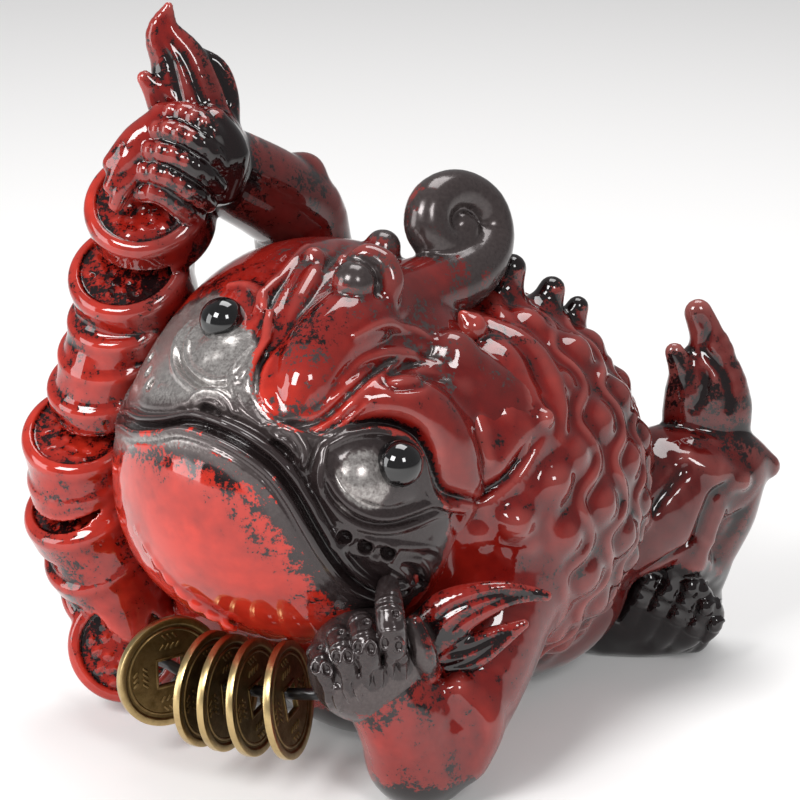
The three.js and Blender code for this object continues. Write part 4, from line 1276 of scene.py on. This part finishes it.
# Brass coins: five loose cast-brass cash coins, 28 mm across, with a raised rim, a framed square
# hole and shallow strokes in the sunk field. Wear keeps the rims bright and leaves the field brown.
COIN_DIAMETER = 0.028
COIN_THICKNESS = 0.0018
RIM_WIDTH = 0.0019
FIELD_DEPTH = 0.00045
HOLE_WIDTH = 0.0064
bpy.ops.object.select_all(action="DESELECT")
bpy.ops.mesh.primitive_cylinder_add(vertices=96, radius=COIN_DIAMETER / 2, depth=COIN_THICKNESS, location=(0, 0, 0))
coin = bpy.context.active_object
bpy.ops.object.mode_set(mode="EDIT")
bpy.ops.mesh.select_mode(type="FACE")
LEDGE = 0.0002  # height of the fine ring inside the rim
insets = [(RIM_WIDTH - 0.0002, 0), (0.0003, FIELD_DEPTH), (0.0006, 0), (0.00025, -LEDGE), (0.0003, 0), (0.00025, LEDGE)]
for side in (1, -1):
    for width, sink in insets:
        bpy.ops.object.mode_set(mode="OBJECT")
        faces = [f for f in coin.data.polygons if f.normal.z * side > 0.9 and len(f.vertices) > 90]
        cap = max(faces, key=lambda f: f.area)
        for f in coin.data.polygons:
            f.select = f.index == cap.index
        bpy.ops.object.mode_set(mode="EDIT")
        bpy.ops.mesh.inset(thickness=width, depth=0)
        bpy.ops.transform.translate(value=(0, 0, -side * sink))
bpy.ops.object.mode_set(mode="OBJECT")


def bar(place, size, turn):
    """A small raised bar with rounded edges, which stands in both faces of the coin."""
    bpy.ops.object.select_all(action="DESELECT")
    bpy.ops.mesh.primitive_cube_add(size=1, location=place, rotation=(0, 0, turn))
    made = bpy.context.active_object
    made.scale = size
    bpy.ops.object.transform_apply(location=True, rotation=True, scale=True)
    edges = made.modifiers.new("edges", "BEVEL")
    edges.width, edges.segments = min(size) * 0.3, 2
    bpy.ops.object.modifier_apply(modifier=edges.name)
    return made


FRAME_WIDTH = 0.0008
bar_height = COIN_THICKNESS - 2 * FIELD_DEPTH + 0.0005
stroke_rows = [(0.0068, 0.7, (-0.0021, -0.0007, 0.0007, 0.0021)), (0.0094, -0.7, (-0.0014, 0, 0.0014))]
raised = []
for k in range(4):
    turn = math.pi / 2 * k
    out = HOLE_WIDTH / 2 + FRAME_WIDTH / 2
    frame_size = (FRAME_WIDTH, HOLE_WIDTH + 2 * FRAME_WIDTH, bar_height)
    raised.append(bar((out * math.cos(turn), out * math.sin(turn), 0), frame_size, turn))
    for far, lean, strokes in stroke_rows:
        for along in strokes:
            x = far * math.cos(turn) - along * math.sin(turn)
            y = far * math.sin(turn) + along * math.cos(turn)
            raised.append(bar((x, y, 0), (0.0018, 0.0006, bar_height + 0.0001), turn + lean))
# The hole is cut through the disc, and the frame and the strokes are joined on.
bpy.ops.object.select_all(action="DESELECT")
bpy.ops.mesh.primitive_cube_add(size=1, location=(0, 0, 0))
punch = bpy.context.active_object
punch.scale = (HOLE_WIDTH, HOLE_WIDTH, 0.01)
bpy.ops.object.transform_apply(scale=True)
bpy.ops.object.select_all(action="DESELECT")
bpy.context.view_layer.objects.active = coin
coin.select_set(True)
cut = coin.modifiers.new("hole", "BOOLEAN")
cut.operation, cut.object, cut.solver = "DIFFERENCE", punch, "EXACT"
bpy.ops.object.modifier_apply(modifier=cut.name)
bpy.data.objects.remove(punch)
worn = coin.modifiers.new("worn_edges", "BEVEL")
worn.width, worn.segments, worn.limit_method, worn.angle_limit = 0.0002, 2, "ANGLE", math.radians(50)
bpy.ops.object.modifier_apply(modifier=worn.name)
for made in raised:
    made.select_set(True)
bpy.ops.object.join()
bpy.ops.object.shade_smooth_by_angle(angle=math.radians(35))
heights = np.array([abs(p.co.z) for p in coin.data.vertices])
outs = np.array([math.hypot(p.co.x, p.co.y) for p in coin.data.vertices])
worn_high = np.clip((heights - (COIN_THICKNESS / 2 - FIELD_DEPTH)) / FIELD_DEPTH, 0, 1)
worn_high = np.where(outs > COIN_DIAMETER / 2 - 0.0006, 1, worn_high * 0.6)
paint(coin, worn=worn_high)

brass = new_material("aged_cast_brass")
bright = reckoned(brass, "MULTIPLY_ADD", grain(brass, 3, 6, 0.7), 1.2, stored(brass, "worn"))
shades = [(0.05, "#5A4829"), (0.45, "#86704A"), (0.95, "#C0A878")]
brass_surface = {
    "Base Color": ramp(brass, mapped(brass, bright, 0.35, 1.7), shades),
    "Metallic": 1.0,
    "Roughness": mapped(brass, bright, 0.4, 1.4, 0.55, 0.3),
    "Normal": bumps(brass, grain(brass, 0.5, 3, 0.6), strength=0.3, height=0.0001),
}
coin.data.materials.append(finish_material(brass, brass_surface))

coin_places = [
    (0.32, (0.55, -0.84, 0.01)),
    (0.51, (0.87, -0.48, 0.04)),
    (0.583, (0.9, -0.42, 0.06)),
    (0.675, (0.92, -0.37, 0.12)),
    (0.79, (0.94, -0.3, 0.15)),
]
route = curve(cord_route, 0.2)[0]
run = np.concatenate([[0], np.cumsum(np.linalg.norm(np.diff(route, axis=0), axis=1))])
for number, (share, normal) in enumerate(coin_places, 1):
    at = v(*[np.interp(share * run[-1], run, route[:, k]) for k in range(3)]) * unit
    out = normalized(v(*normal))
    across = normalized(np.cross(out, v(0, 0, 1)))
    up = np.cross(across, out)
    at = at - up * ((HOLE_WIDTH - CORD_THICKNESS) / 2 - 0.00015)
    made = coin if number == len(coin_places) else bpy.data.objects.new("coin", coin.data.copy())
    if made is not coin:
        bpy.context.scene.collection.objects.link(made)
    turned = Matrix([(across[k], up[k], out[k], at[k]) for k in range(3)] + [(0, 0, 0, 1)])
    made.data.transform(turned)
    made.name = made.data.name = f"cash_coin_{number}"
    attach(made, "root")
    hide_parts(f"brass_coin_{number}")
